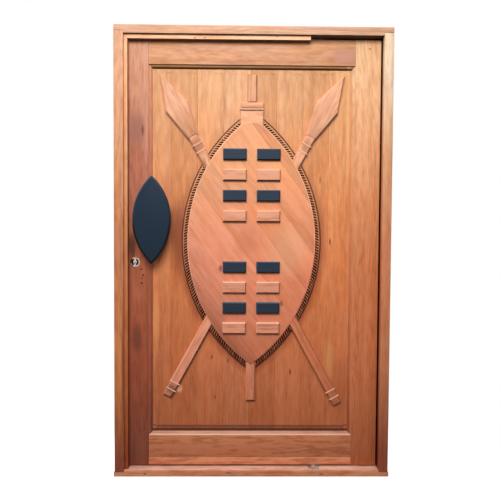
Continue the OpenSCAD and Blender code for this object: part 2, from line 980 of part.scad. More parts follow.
// Ring round the shield, broken where the spears, staff and neck cross it: a rope of slanted notches
// beside the shield, and a low plain ledge outside it
module shield_border() {
    color(spear_wood) difference() {
        union() {
            shield_form(border_w, ledge_t, 0);
            shield_form(rope_w, border_t, 0);
        }
        translate([0, over, 0]) shield_form(fit, border_t + 2 * over, 0);
        for (side = [-1, 1])
            for (k = [-notch_half_count : notch_half_count])
                border_notch(side, k * notch_step);
        neck_space();
        staff_space();
        for (side = [-1, 1]) on_spear(side) shaft_space();
    }
}

module border_notch(side, angle) {
    depth = border_t * notch_depth_share;
    translate([ornament_x - side * (shield_r - shield_half_w), 0, shield_z])
        rotate([0, -side * angle, 0])
            translate([side * rope_r, field_y - border_t + depth / 2 - over / 2, 0])
                rotate([0, side * notch_slant, 0])
                    cube([2 * rope_w, depth + over, notch_w], center = true);
}

module shaft_space() {
    block(
        [-shaft_w / 2 - fit, field_y - border_t - over, -spear_tip],
        [shaft_w / 2 + fit, field_y + over, spear_tip]
    );
}

// Carved neck with a groove, a raised band and a collar, notched to fit over the top of the shield
module shield_neck() {
    x0 = ornament_x - neck_w / 2;
    x1 = ornament_x + neck_w / 2;
    color(spear_wood) {
        difference() {
            bevelled_plate(rectangle(x0, x1, neck_foot, neck_top), field_y, neck_t, neck_bevel);
            shield_space();
        }
        planted(field_y, groove_t) polygon(rectangle(x0, x1, neck_top, band_bottom));
        planted(field_y, collar_t + band_rise)
            polygon(rectangle(x0 - band_side, x1 + band_side, band_bottom, collar_bottom));
        bevelled_plate(rectangle(x0, x1, collar_bottom, collar_top), field_y, collar_t, neck_bevel);
    }
}

// Space of the neck, for the border that ends against its sides
module neck_space() {
    block(
        [ornament_x - neck_w / 2 - fit, field_y - border_t - over, shield_z],
        [ornament_x + neck_w / 2 + fit, field_y + over, collar_top]
    );
}

module staff_plate(z0, z1) {
    bevelled_plate(
        rectangle(ornament_x - staff_w / 2, ornament_x + staff_w / 2, z0, z1),
        field_y, spear_t, spear_bevel
    );
}

module staff_top() {
    color(spear_wood) staff_plate(collar_top, staff_end_top);
}

module staff_bottom() {
    color(spear_wood) difference() {
        staff_plate(staff_end_bottom, shield_z - shield_half_h + staff_w);
        shield_space();
    }
}

module staff_space() {
    block(
        [ornament_x - staff_w / 2 - fit, field_y - border_t - over, staff_end_bottom],
        [ornament_x + staff_w / 2 + fit, field_y + over, staff_end_top]
    );
}

// Upper half of a spear: the leaf-shaped head over the end of the shaft, two raised bands and the shaft
// down to the shield
module spear_head(side) {
    half_base = shaft_w / 2 + socket_side;
    color(spear_wood) difference() {
        on_spear(side) {
            bevelled_plate([
                [half_base, spear_base],
                [spear_head_w / 2, spear_widest],
                [0, spear_tip],
                [-spear_head_w / 2, spear_widest],
                [-half_base, spear_base]
            ], field_y, spear_t + socket_rise, spear_bevel);
            bevelled_plate(
                rectangle(-shaft_w / 2, shaft_w / 2, shaft_inner, spear_base + shaft_w),
                field_y, spear_t, spear_bevel
            );
            for (drop = band_places) spear_band(spear_base - drop);
        }
        shield_space();
    }
}

// Lower half of a spear, from the shield to its butt
module spear_butt(side, length) {
    color(spear_wood) difference() {
        on_spear(side) {
            bevelled_plate([
                [butt_w / 2, -length],
                [shaft_w / 2, -length + butt_taper],
                [shaft_w / 2, -shaft_inner],
                [-shaft_w / 2, -shaft_inner],
                [-shaft_w / 2, -length + butt_taper],
                [-butt_w / 2, -length]
            ], field_y, spear_t, spear_bevel);
            for (rise = band_places) spear_band(-length + rise);
        }
        shield_space();
    }
}

// A raised band across a shaft
module spear_band(z) {
    half = shaft_w / 2 + band_side;
    planted(field_y, spear_t + band_rise)
        polygon(rectangle(-half, half, z - band_w / 2, z + band_w / 2));
}

module spear_left_head() {
    spear_head(-1);
}

module spear_right_head() {
    spear_head(1);
}

module spear_left_butt() {
    spear_butt(1, left_butt_l);
}

module spear_right_butt() {
    spear_butt(-1, right_butt_l);
}

// Rows of blocks: in each group of four the dark rows are the first and third from the top
module blocks(dark) {
    for (side = [-1, 1], group = [-1, 1], row = [0 : row_count - 1]) {
        from_top = group > 0 ? row_count - 1 - row : row;
        x_mid = ornament_x + side * (block_gap + block_w) / 2;
        z_mid = shield_z + group * (row_start + row * row_pitch);
        if ((from_top % 2 == 0) == dark)
            bevelled_plate(
                rectangle(
                    x_mid - block_w / 2, x_mid + block_w / 2,
                    z_mid - block_h / 2, z_mid + block_h / 2
                ),
                shield_y, block_t, block_bevel
            );
    }
}

module blocks_dark() {
    color(navy_paint) blocks(true);
}

module blocks_natural() {
    color(shield_wood) blocks(false);
}

// Pull handle

function post_places() = [handle_mid - post_pitch / 2, handle_mid + post_pitch / 2];

// Almond plate that stands off the leaf
module handle_plate() {
    color(navy_paint) translate([handle_x, plate_back, handle_mid])
        lens(handle_w / 2, handle_h / 2, 0, handle_t, handle_bevel);
}

// Two posts that carry the plate, tapped for the bolts
module handle_posts() {
    color(navy_paint) for (z = post_places()) difference() {
        bar_y(post_x, z, post_d, plate_back, front);
        bar_y(post_x, z, handle_bolt_d + 2 * turn_fit, front - handle_bolt_reach - over, front + over);
    }
}

// Bolts through the stile, with domed heads inside
module handle_bolts() {
    color(steel) for (z = post_places()) {
        bar_y(post_x, z, handle_bolt_d, front - handle_bolt_reach, back);
        translate([post_x, back, z]) rotate([-90, 0, 0]) rotate_extrude() polygon([
            [0, 0],
            [handle_bolt_head_d / 2, 0],
            [handle_bolt_head_d / 2, handle_bolt_head_h * bolt_rim_share],
            [handle_bolt_head_d / 2 * bolt_crown_share, handle_bolt_head_h],
            [0, handle_bolt_head_h]
        ]);
    }
}

// Lock

// Outline of the lock cylinder: a round head over a narrower tail with a round end
module cylinder_outline(play) {
    tail_z = lock_mid + cylinder_d / 2 - cylinder_h + cylinder_tail_w / 2;
    translate([lock_x, lock_mid]) circle(d = cylinder_d + 2 * play);
    translate([lock_x, tail_z]) circle(d = cylinder_tail_w + 2 * play);
    translate([lock_x - cylinder_tail_w / 2 - play, tail_z])
        square([cylinder_tail_w + 2 * play, lock_mid - tail_z]);
}

module cylinder_space(play, length) {
    planted(length / 2, length) cylinder_outline(play);
}

// Double cylinder, slotted in the middle for the cam
module lock_cylinder() {
    length = leaf_t + 2 * cylinder_stand;
    color(chrome) difference() {
        cylinder_space(0, length);
        bar_y(lock_x, lock_mid, plug_d + 2 * plug_fit, -length, length);
        bar_y(lock_x, lock_mid, 2 * cam_sweep, -cam_t / 2 - cam_gap, cam_t / 2 + cam_gap);
    }
}

// Plug with a keyway at each end and the cam that throws the bolt
module lock_plug() {
    half = leaf_t / 2 + cylinder_stand;
    color(chrome) difference() {
        union() {
            bar_y(lock_x, lock_mid, plug_d, -half, half);
            block(
                [lock_x - cam_w / 2, -cam_t / 2, lock_mid - cam_r],
                [lock_x + cam_w / 2, cam_t / 2, lock_mid]
            );
        }
        for (y = [-half - over, half - keyway_l])
            translate([lock_x - keyway_w / 2, y, lock_mid - keyway_h / 2])
                cube([keyway_w, keyway_l + over, keyway_h]);
    }
}

// A rose with a bevelled rim, cut to the outline of the lock cylinder
module rose() {
    difference() {
        translate([lock_x, 0, lock_mid]) bevelled_disc(rose_d / 2, rose_t, rose_bevel);
        planted(over, rose_t + 2 * over) cylinder_outline(fit);
    }
}

module rose_outer() {
    color(chrome) translate([0, front, 0]) rose();
}

module rose_inner() {
    color(chrome) translate([0, back, 0]) mirror([0, 1, 0]) rose();
}

// Corners of the lock case and of its faceplate, and the room that both need in the stile
module case_form(play) {
    block(
        [leaf_left, -case_t / 2 - play, lock_mid - case_drop - play],
        [leaf_left + case_l + play, case_t / 2 + play, lock_mid + case_rise + play]
    );
    block(
        [leaf_left, -faceplate_w / 2 - play, lock_mid - case_drop - faceplate_end - play],
        [leaf_left + faceplate_t + play, faceplate_w / 2 + play, lock_mid + case_rise + faceplate_end + play]
    );
}

module case_space(play) {
    case_form(play);
    translate([-over, 0, 0]) case_form(play);
}

// Hollow steel case with its faceplate in the edge of the leaf
module lock_case() {
    color(steel) difference() {
        case_form(0);
        block(
            [leaf_left + faceplate_t, -case_t / 2 + case_wall, lock_mid - case_drop + case_wall],
            [leaf_left + case_l - case_wall, case_t / 2 - case_wall, lock_mid + case_rise - case_wall]
        );
        block(
            [leaf_left - over, -bolt_w / 2 - fit, bolt_mid - bolt_h / 2 - fit],
            [leaf_left + faceplate_t + over, bolt_w / 2 + fit, bolt_mid + bolt_h / 2 + fit]
        );
        cylinder_space(fit, leaf_t);
    }
}

module deadbolt() {
    color(brass) block(
        [leaf_left + bolt_sink, -bolt_w / 2, bolt_mid - bolt_h / 2],
        [leaf_left + bolt_l, bolt_w / 2, bolt_mid + bolt_h / 2]
    );
}

// Room for the strike plate in the jamb
module strike_space(play) {
    block(
        [-frame_in - strike_t - play, -strike_w / 2 - play, bolt_mid - bolt_h / 2 - strike_end - play],
        [-frame_in + over, strike_w / 2 + play, bolt_mid + bolt_h / 2 + strike_end + play]
    );
}

module strike_plate() {
    color(steel) difference() {
        block(
            [-frame_in - strike_t, -strike_w / 2, bolt_mid - bolt_h / 2 - strike_end],
            [-frame_in, strike_w / 2, bolt_mid + bolt_h / 2 + strike_end]
        );
        block(
            [-frame_in - strike_t - over, -bolt_w / 2 - pocket_play, bolt_mid - bolt_h / 2 - pocket_play],
            [-frame_in + over, bolt_w / 2 + pocket_play, bolt_mid + bolt_h / 2 + pocket_play]
        );
    }
}

jamb_left();
jamb_right();
head();
sill();
stop_left();
stop_right();
head_stop_front();
head_stop_rear();
floor_pivot();
thrust_washer();
top_pivot();
strike_plate();
stile_left();
stile_right();
top_rail();
bottom_rail();
kick_rail();
for (i = [1 : board_count])
    panel_board(i);
bead_bottom();
bead_right();
bead_top();
bead_left();
for (i = [1 : shield_board_count])
    shield_board(i);
shield_border();
shield_neck();
staff_top();
staff_bottom();
spear_left_head();
spear_right_head();
spear_left_butt();
spear_right_butt();
blocks_dark();
blocks_natural();
handle_plate();
handle_posts();
handle_bolts();
lock_case();
lock_cylinder();
rose_outer();
rose_inner();
pivot_shoe();
top_bush();
deadbolt();
lock_plug();
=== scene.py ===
# %% [markdown]
# # Hardwood pivot door in its frame
# This lesson dresses a CAD model of an entrance door: a boarded leaf with a carved shield and crossed
# spears, which turns on a floor spindle. The CAD model gives every size and place, so the first step is to
# load it as a fixed frame.

# %% Load the imported CAD model
import json
import math

import bmesh
import bpy
import numpy as np
from mathutils import Matrix, Vector


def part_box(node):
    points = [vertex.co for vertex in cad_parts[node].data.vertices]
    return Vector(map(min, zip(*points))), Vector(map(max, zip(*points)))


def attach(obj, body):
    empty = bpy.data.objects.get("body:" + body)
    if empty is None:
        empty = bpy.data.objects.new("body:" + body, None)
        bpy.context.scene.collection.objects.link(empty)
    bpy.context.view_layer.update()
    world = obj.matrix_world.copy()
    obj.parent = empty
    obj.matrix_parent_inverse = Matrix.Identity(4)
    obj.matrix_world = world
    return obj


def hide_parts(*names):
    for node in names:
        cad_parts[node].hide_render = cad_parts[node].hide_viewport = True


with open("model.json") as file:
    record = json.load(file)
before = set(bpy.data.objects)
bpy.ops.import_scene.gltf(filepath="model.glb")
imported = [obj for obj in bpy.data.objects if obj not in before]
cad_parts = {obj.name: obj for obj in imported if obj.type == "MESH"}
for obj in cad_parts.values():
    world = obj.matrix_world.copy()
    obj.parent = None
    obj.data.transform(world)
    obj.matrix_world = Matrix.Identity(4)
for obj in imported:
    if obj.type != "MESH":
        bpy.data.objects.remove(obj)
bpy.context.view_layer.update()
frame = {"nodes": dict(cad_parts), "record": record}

record = frame["record"]
body_of = {node: body for body, nodes in record["behaviour"]["bodies"].items() for node in nodes}

# %% [markdown]
# ## A few small helpers
# Colours are chosen as they look on a screen, as sRGB hex values, but Blender mixes light in linear values,
# so one function turns the first into the second. Every material and every Geometry Nodes tree is a set of
# linked nodes. One helper adds a node, sets its options and wires its inputs, which keeps each recipe short.

# %% Colour and node helpers
def linear(code):
    parts = [int(code[i:i + 2], 16) / 255 for i in (1, 3, 5)]
    return tuple(c / 12.92 if c <= 0.04045 else ((c + 0.055) / 1.055) ** 2.4 for c in parts) + (1.0,)


def add(tree, kind, wires=None, **settings):
    node = tree.nodes.new(kind)
    for key, value in settings.items():
        setattr(node, key, value)
    for socket, source in (wires or {}).items():
        if isinstance(source, bpy.types.NodeSocket):
            tree.links.new(source, node.inputs[socket])
        else:
            node.inputs[socket].default_value = source
    return node


def new_material(name):
    material = bpy.data.materials.new(name)
    material.use_nodes = True
    material.node_tree.nodes.clear()
    return material, material.node_tree


def new_object(name, data):
    item = bpy.data.objects.new(name, data)
    bpy.context.scene.collection.objects.link(item)
    return item


def finished_mesh(name, build):
    mesh = bpy.data.meshes.new(name)
    build.to_mesh(mesh)
    build.free()
    return mesh


print("white in linear light:", linear("#ffffff")[:3])

# %% [markdown]
# ## Varnished red hardwood
# The door is a red tropical hardwood such as meranti, planed and finished with a satin varnish. Flat-sawn
# boards show three things: arches where the cut meets the growth rings, darker and lighter bands along the
# grain, and fine pores. A picture of wood would repeat and would not follow the boards, so the grain is
# computed. Each board carries its own coordinates in an attribute called grain (along the board, across it,
# and into it), and an attribute called board with a lighter or darker tone, a warmth and a number of its
# own, so no two boards are alike. A few noises, drawn out along the grain, add up to the share of dark wood.

# %% Rings, bands and pores
ring_spacing_mm, ring_clear = 11, -0.2
board_shift = (17.3, 5.1, 9.7)
# Heart of the log beside the board's middle, slope of the log's taper, and bends of both, in metres
heart_step, heart_start, heart_most, heart_bend = 0.037, -0.04, 0.1, 0.09
taper_slope, taper_start, taper_bend = 0.055, 0.05, 0.11
# Repeats per metre along and across the board, detail and roughness. The slow noise bends the figure, and
# pores are drawn coarser than real ones so that they show
noises = {
    "slow": (1.3, 8.0, 2.0, 0.5),
    "bands": (1.1, 1000 / 26, 3.0, 0.5),
    "mottle": (12.0, 1000 / 20, 3.0, 0.6),
    "pores": (14.0, 1000 / 5, 4.0, 0.65),
    "hue": (5.0, 22.0, 2.0, 0.5),
}
dark_start, dark_weights = -1.4, {"bands": 1.1, "mottle": 1.7, "pores": 0.9, "drift": 0.9}


def drawn_noises(tree, grain, number):
    apart = add(tree, "ShaderNodeVectorMath", {0: number, 1: board_shift}, operation="MULTIPLY").outputs[0]
    shifted = add(tree, "ShaderNodeVectorMath", {0: grain, 1: apart}, operation="ADD").outputs[0]
    noise = {}
    for label, (along, across, detail, roughness) in noises.items():
        drawn = add(tree, "ShaderNodeVectorMath", {0: shifted, 1: (along, across, across)},
                    operation="MULTIPLY").outputs[0]
        noise[label] = add(tree, "ShaderNodeTexNoise", {"Vector": drawn, "Scale": 1.0, "Detail": detail,
                                                        "Roughness": roughness}).outputs["Fac"]
    noise["drift"] = add(tree, "ShaderNodeMath", {0: noise["slow"], 1: 0.5}, operation="SUBTRACT").outputs[0]
    return noise


def growth_rings(tree, grain, number, drift):
    # Waves of the distance from the heart of the log, which lies off the board's middle and tapers along it
    cut = add(tree, "ShaderNodeSeparateXYZ", {"Vector": grain}).outputs
    heart = add(tree, "ShaderNodeMath", {0: number, 1: heart_step, 2: heart_start}, operation="MULTIPLY_ADD")
    heart = add(tree, "ShaderNodeMath", {0: heart.outputs[0], 1: heart_most}, operation="PINGPONG").outputs[0]
    side = add(tree, "ShaderNodeMath", {0: cut["Y"], 1: heart}, operation="ADD").outputs[0]
    side = add(tree, "ShaderNodeMath", {0: drift, 1: heart_bend, 2: side}, operation="MULTIPLY_ADD")
    taper = add(tree, "ShaderNodeMath", {0: cut["X"], 1: taper_slope, 2: taper_start}, operation="MULTIPLY_ADD")
    taper = add(tree, "ShaderNodeMath", {0: drift, 1: taper_bend, 2: taper.outputs[0]},
                operation="MULTIPLY_ADD")
    spoke = add(tree, "ShaderNodeCombineXYZ", {"X": side.outputs[0], "Y": taper.outputs[0]}).outputs[0]
    reach = add(tree, "ShaderNodeVectorMath", {0: spoke}, operation="LENGTH").outputs["Value"]
    turns = add(tree, "ShaderNodeMath", {0: reach, 1: 2000 * math.pi / ring_spacing_mm}, operation="MULTIPLY")
    wave = add(tree, "ShaderNodeMath", {0: turns.outputs[0]}, operation="SINE").outputs[0]
    return add(tree, "ShaderNodeMapRange", {"Value": wave, "From Min": ring_clear, "From Max": 1.0}).outputs[0]


def dark_share(tree, ring, rings, noise):
    dark = add(tree, "ShaderNodeMath", {0: ring, 1: rings, 2: dark_start - rings / 2},
               operation="MULTIPLY_ADD").outputs[0]
    for label, weight in dark_weights.items():
        dark = add(tree, "ShaderNodeMath", {0: noise[label], 1: weight, 2: dark},
                   operation="MULTIPLY_ADD", use_clamp=label == "drift").outputs[0]
    return dark


print("noises:", ", ".join(noises))

# %% [markdown]
# ## Tone, painted shade and painted highlight
# The colour runs from pale orange under the head to a dark red brown at the foot, partly as a painted light
# falloff, and each board is a little lighter, darker or redder than its wood. A third attribute, shade, holds
# painted light and shade. It is high on faces that look down or to the right, which get a painted shade, and
# below zero on faces that look up or to the left and on the raised bands, which get a painted highlight. A few
# painted shades and highlights also multiply the colour of the wood.

# %% Tone, painted shade and painted highlight
# Heights of the five tones are shares of the door's height in metres; the darkening towards the foot is partly
# a painted light falloff
tone_heights, door_height, waver = (0.04, 0.25, 0.5, 0.7, 0.93), 2.11, 0.1
redder, hue_range, hue_start = (1.0, 0.8, 0.5, 1), 1.2, -0.6
# Tints for painted shade in the rope's notches and the reveal's gap, for painted shade beside the shield, and
# for a painted highlight on the shield's rim and joints
painted_shade_tint, beside_shade_tint, painted_rim_highlight = (0.05, 0.03, 0.03), (0.6, 0.48, 0.48), (1.25, 1.5, 1.75)
soft_edge = 0.006


def board_colour(tree, height, own, noise, tones):
    level = add(tree, "ShaderNodeMath", {0: height, 1: 1 / door_height}, operation="MULTIPLY").outputs[0]
    level = add(tree, "ShaderNodeMath", {0: noise["drift"], 1: waver, 2: level}, operation="MULTIPLY_ADD")
    ramp = add(tree, "ShaderNodeValToRGB", {"Fac": level.outputs[0]})
    stops = ramp.color_ramp.elements
    while len(stops) < len(tones):
        stops.new(0.5)
    for stop, place, tone in zip(stops, tone_heights, tones):
        stop.position, stop.color = place, linear(tone)
    lighter = add(tree, "ShaderNodeMath", {0: own["X"], 1: 1.0}, operation="ADD").outputs[0]
    toned = add(tree, "ShaderNodeVectorMath", {0: ramp.outputs["Color"], "Scale": lighter}, operation="SCALE")
    hue = add(tree, "ShaderNodeMath", {0: noise["hue"], 1: hue_range, 2: hue_start},
              operation="MULTIPLY_ADD").outputs[0]
    warmth = add(tree, "ShaderNodeMath", {0: own["Y"], 1: hue}, operation="ADD").outputs[0]
    warm = add(tree, "ShaderNodeMix", {0: warmth, 6: (1, 1, 1, 1), 7: redder}, data_type="RGBA",
               clamp_factor=False).outputs[2]
    return add(tree, "ShaderNodeVectorMath", {0: toned.outputs[0], 1: warm}, operation="MULTIPLY").outputs[0]


def shaded(tree, colour, pale_code):
    # Negative shade mixes towards the pale colour as a painted highlight, positive shade towards black as a
    # painted shade
    shade = add(tree, "ShaderNodeAttribute", attribute_name="shade").outputs["Fac"]
    lit = add(tree, "ShaderNodeMath", {0: shade, 1: -1.0}, operation="MULTIPLY").outputs[0]
    colour = add(tree, "ShaderNodeMix", {0: lit, 6: colour, 7: linear(pale_code)},
                 data_type="RGBA").outputs[2]
    return add(tree, "ShaderNodeMix", {0: shade, 6: colour, 7: (0, 0, 0, 1)}, data_type="RGBA").outputs[2]


def tinted(tree, colour, share, by):
    # Each tint multiplied in here is a painted shade or a painted highlight
    change = add(tree, "ShaderNodeMix", {0: share, 6: (1, 1, 1, 1), 7: by + (1,)},
                 data_type="RGBA").outputs[2]
    return add(tree, "ShaderNodeVectorMath", {0: colour, 1: change}, operation="MULTIPLY").outputs[0]


def within(tree, value, low, high):
    share = 1.0
    for limit, soft in ((low, -soft_edge), (high, soft_edge)):
        inside = add(tree, "ShaderNodeMapRange", {"Value": value, "From Min": limit + soft, "From Max": limit})
        share = add(tree, "ShaderNodeMath", {0: share, 1: inside.outputs[0]}, operation="MULTIPLY").outputs[0]
    return share


print("heights of tones", tone_heights)

# %% [markdown]
# ## Painted shade round the shield
# The shield and the pull handle are almonds, each between two arcs. A place beside such an outline is best
# told by its distance from the arc's middle. Painted shade lies in the slanted notches of the border, runs
# wider at its foot as a painted shadow of the shield, and darkens the outer edge as a painted shadow line.
# The panel beside the border gets a painted shade too.

# %% Painted shade by distance from the arcs
# Middle of the shield, how far its arcs' middles lie off it, and their radius, all in metres
shield_x, shield_z, arc_off, arc_r = -0.0075, 1.1148, 0.4185, 0.7213
rope_mm, border_mm, notch_mm, notch_slant = 16, 28, 13, math.radians(30)
# Shares of a notch's lap, heights between which the painted shade runs wider under the shield, and the most it
# runs, in metres
clear_lap, shaded_lap, run_top, run_foot, run_most = 0.39, 0.29, 1.2, 0.95, 0.007
rope_soft, rim_starts, rim_full, rim_most = 0.002, 0.008, 0.004, 0.9
uneven_low, uneven_high, uneven_least = 0.36, 0.54, 0.72
# Distance from the arc where the painted shade beside the border ends and where it is full, and the heights
# over which it weakens
beside_shade_ends, beside_shade_full, beside_shade_top, beside_shade_foot, beside_shade_least = 0.066, 0.026, 1.5, 1.15, 0.3


def from_arcs(tree, where, middle_x, middle_z, off):
    # The reach from the arc's middle in metres, and the angle
    aside = where["X"]
    for operation, by in (("SUBTRACT", middle_x), ("ABSOLUTE", 0), ("ADD", off)):
        aside = add(tree, "ShaderNodeMath", {0: aside, 1: by}, operation=operation).outputs[0]
    rise = add(tree, "ShaderNodeMath", {0: where["Z"], 1: middle_z}, operation="SUBTRACT").outputs[0]
    spoke = add(tree, "ShaderNodeCombineXYZ", {"X": aside, "Y": rise}).outputs[0]
    reach = add(tree, "ShaderNodeVectorMath", {0: spoke}, operation="LENGTH").outputs["Value"]
    return reach, add(tree, "ShaderNodeMath", {0: rise, 1: aside}, operation="ARCTAN2").outputs[0]


def rope_painted_shade(tree, where, mottle):
    # Painted shade in the notches, running wider at the foot as the shield's painted shadow, and a painted
    # shadow line along the outer edge
    reach, angle = from_arcs(tree, where, shield_x, shield_z, arc_off)
    rope_r, rope_edge, border_edge = arc_r + rope_mm / 2000, arc_r + rope_mm / 1000, arc_r + border_mm / 1000
    lap = add(tree, "ShaderNodeMath", {0: angle, 1: 1000 * rope_r / notch_mm}, operation="MULTIPLY").outputs[0]
    lean = add(tree, "ShaderNodeMath", {0: reach, 1: rope_r}, operation="SUBTRACT").outputs[0]
    lap = add(tree, "ShaderNodeMath", {0: lean, 1: 1000 * math.tan(notch_slant) / notch_mm, 2: lap},
              operation="MULTIPLY_ADD").outputs[0]
    beside = add(tree, "ShaderNodeMath", {0: lap, 1: 0.5}, operation="PINGPONG").outputs[0]
    notch = add(tree, "ShaderNodeMapRange",
                {"Value": beside, "From Min": clear_lap, "From Max": shaded_lap}).outputs[0]
    run = add(tree, "ShaderNodeMapRange",
              {"Value": where["Z"], "From Min": run_top, "From Max": run_foot, "To Max": run_most}).outputs[0]
    run = add(tree, "ShaderNodeMath", {0: reach, 1: run}, operation="SUBTRACT").outputs[0]
    inside = add(tree, "ShaderNodeMapRange",
                 {"Value": run, "From Min": rope_edge, "From Max": rope_edge - rope_soft}).outputs[0]
    uneven = add(tree, "ShaderNodeMapRange", {"Value": mottle, "From Min": uneven_low, "From Max": uneven_high,
                                              "To Min": uneven_least}).outputs[0]
    for limit in (inside, uneven):
        notch = add(tree, "ShaderNodeMath", {0: notch, 1: limit}, operation="MULTIPLY").outputs[0]
    rim = add(tree, "ShaderNodeMapRange", {"Value": reach, "From Min": border_edge - rim_starts,
                                           "From Max": border_edge - rim_full, "To Max": rim_most}).outputs[0]
    return add(tree, "ShaderNodeMath", {0: notch, 1: rim}, operation="MAXIMUM").outputs[0]


def painted_shade_beside(tree, where, front):
    # A painted shade on the front of the panel beside the shield's border, weaker higher up
    reach = from_arcs(tree, where, shield_x, shield_z, arc_off)[0]
    near = add(tree, "ShaderNodeMapRange",
               {"Value": reach, "From Min": arc_r + beside_shade_ends, "From Max": arc_r + beside_shade_full}).outputs[0]
    low = add(tree, "ShaderNodeMapRange", {"Value": where["Z"], "From Min": beside_shade_top, "From Max": beside_shade_foot,
                                           "To Min": beside_shade_least}).outputs[0]
    for limit in (low, front):
        near = add(tree, "ShaderNodeMath", {0: near, 1: limit}, operation="MULTIPLY").outputs[0]
    return near


print("a notch every", notch_mm, "mm")

# %% [markdown]
# ## The whole recipe
# The parts come together in order: the wood and its figure, then painted shade and highlight, then single
# marks such as knots, old screw holes and chips, which are soft spots on the front, and the painted light
# and shade of the shade attribute over everything. Some soft spots are painted shadows, shade lines and
# highlights. Pores make the varnish rougher and give it a fine relief.

# %% The wood recipe
even_share, light_wood, dark_wood = 0.45, (1.09, 1.1, 1.11, 1), (0.77, 0.67, 0.6, 1)
front_from, front_to = -0.1, -0.006
spot_edge, spot_core, spot_ragged = 1.3, 0.6, 0.8
varnish_gloss, pore_relief = (0.38, 0.56), (0.3, 0.0006)


def surface(tree, colour, wear, gloss, height, relief, more):
    # Roughness follows the wear between two values. The relief is a strength and a depth in metres
    rough = add(tree, "ShaderNodeMapRange", {"Value": wear, "To Min": gloss[0], "To Max": gloss[1]}).outputs[0]
    normal = add(tree, "ShaderNodeBump",
                 {"Height": height, "Strength": relief[0], "Distance": relief[1]}).outputs[0]
    shader = add(tree, "ShaderNodeBsdfPrincipled",
                 {"Base Color": colour, "Roughness": rough, "Normal": normal, **more}).outputs[0]
    add(tree, "ShaderNodeOutputMaterial", {"Surface": shader})


def spotted(tree, colour, place, front, pores, spot):
    # A spot is x, z and half sizes in mm, the colour of its middle, and its strength where that isn't 1
    x, z, half_x, half_z, code, *strength = spot
    near = add(tree, "ShaderNodeMapping", {"Vector": place, "Location": (x / 1000, 0, z / 1000),
                                           "Scale": (half_x / 1000, 1e3, half_z / 1000)}, vector_type="TEXTURE")
    away = add(tree, "ShaderNodeVectorMath", {0: near.outputs[0]}, operation="LENGTH").outputs["Value"]
    away = add(tree, "ShaderNodeMath", {0: pores, 1: spot_ragged, 2: away}, operation="MULTIPLY_ADD").outputs[0]
    share = add(tree, "ShaderNodeMapRange", {"Value": away, "From Min": spot_edge, "From Max": spot_core,
                                             "To Max": (strength or [1.0])[0]},
                interpolation_type="SMOOTHSTEP").outputs[0]
    share = add(tree, "ShaderNodeMath", {0: share, 1: front}, operation="MULTIPLY").outputs[0]
    return add(tree, "ShaderNodeMix", {0: share, 6: colour, 7: linear(code)}, data_type="RGBA").outputs[2]


def varnished_hardwood(of, tones, spots=(), figure=1.0, rings=0.14, recess=None, seam=None, border=None,
                       pale="#ffe2c8", gleam=0.22):
    # figure and rings are strengths, pale is the colour of painted highlights, gleam is the varnish's shine
    material, tree = new_material("varnished hardwood of the " + of)
    place = add(tree, "ShaderNodeTexCoord").outputs["Object"]
    where = add(tree, "ShaderNodeSeparateXYZ", {"Vector": place}).outputs
    grain = add(tree, "ShaderNodeAttribute", attribute_name="grain").outputs["Vector"]
    board = add(tree, "ShaderNodeAttribute", attribute_name="board").outputs["Vector"]
    own = add(tree, "ShaderNodeSeparateXYZ", {"Vector": board}).outputs
    noise = drawn_noises(tree, grain, own["Z"])
    ring = growth_rings(tree, grain, own["Z"], noise["drift"])
    colour = board_colour(tree, where["Z"], own, noise, tones)
    share = dark_share(tree, ring, rings, noise)
    share = add(tree, "ShaderNodeMath", {0: share, 1: figure, 2: even_share * (1 - figure)},
                operation="MULTIPLY_ADD").outputs[0]
    tint = add(tree, "ShaderNodeMix", {0: share, 6: light_wood, 7: dark_wood}, data_type="RGBA").outputs[2]
    colour = add(tree, "ShaderNodeVectorMath", {0: colour, 1: tint}, operation="MULTIPLY").outputs[0]
    if recess:
        # What lies deeper than a given depth; on the shield, a painted highlight on the rim and the joints
        start, full, change = recess
        deep = add(tree, "ShaderNodeMapRange", {"Value": where["Y"], "From Min": start, "From Max": full})
        colour = tinted(tree, colour, deep.outputs[0], change)
    if seam:
        # A painted shadow line between two places across and two depths, in the gap beside the leaf
        across, depths = seam
        aside, deep = within(tree, where["X"], *across), within(tree, where["Y"], *depths)
        share = add(tree, "ShaderNodeMath", {0: aside, 1: deep}, operation="MULTIPLY").outputs[0]
        colour = tinted(tree, colour, share, painted_shade_tint)
    if border == "rope":
        colour = tinted(tree, colour, rope_painted_shade(tree, where, noise["mottle"]), painted_shade_tint)
    front = within(tree, where["Y"], front_from, front_to)
    if border == "beside":
        colour = tinted(tree, colour, painted_shade_beside(tree, where, front), beside_shade_tint)
    for spot in spots:
        colour = spotted(tree, colour, place, front, noise["pores"], spot)
    surface(tree, shaded(tree, colour, pale), noise["pores"], varnish_gloss, noise["pores"], pore_relief,
            {"Specular IOR Level": gleam})
    return material


print("varnish", varnish_gloss)

# %% [markdown]
# ## One recipe, thirteen woods
# The pieces were cut from different boards: the latch stile is the reddest, the shield the brightest. Each
# wood has five tones, from the foot to the head. The marks of age belong to single pieces: knots in the
# panel and in the stops, filled screw holes below the lock, and a chip beside the left spear.

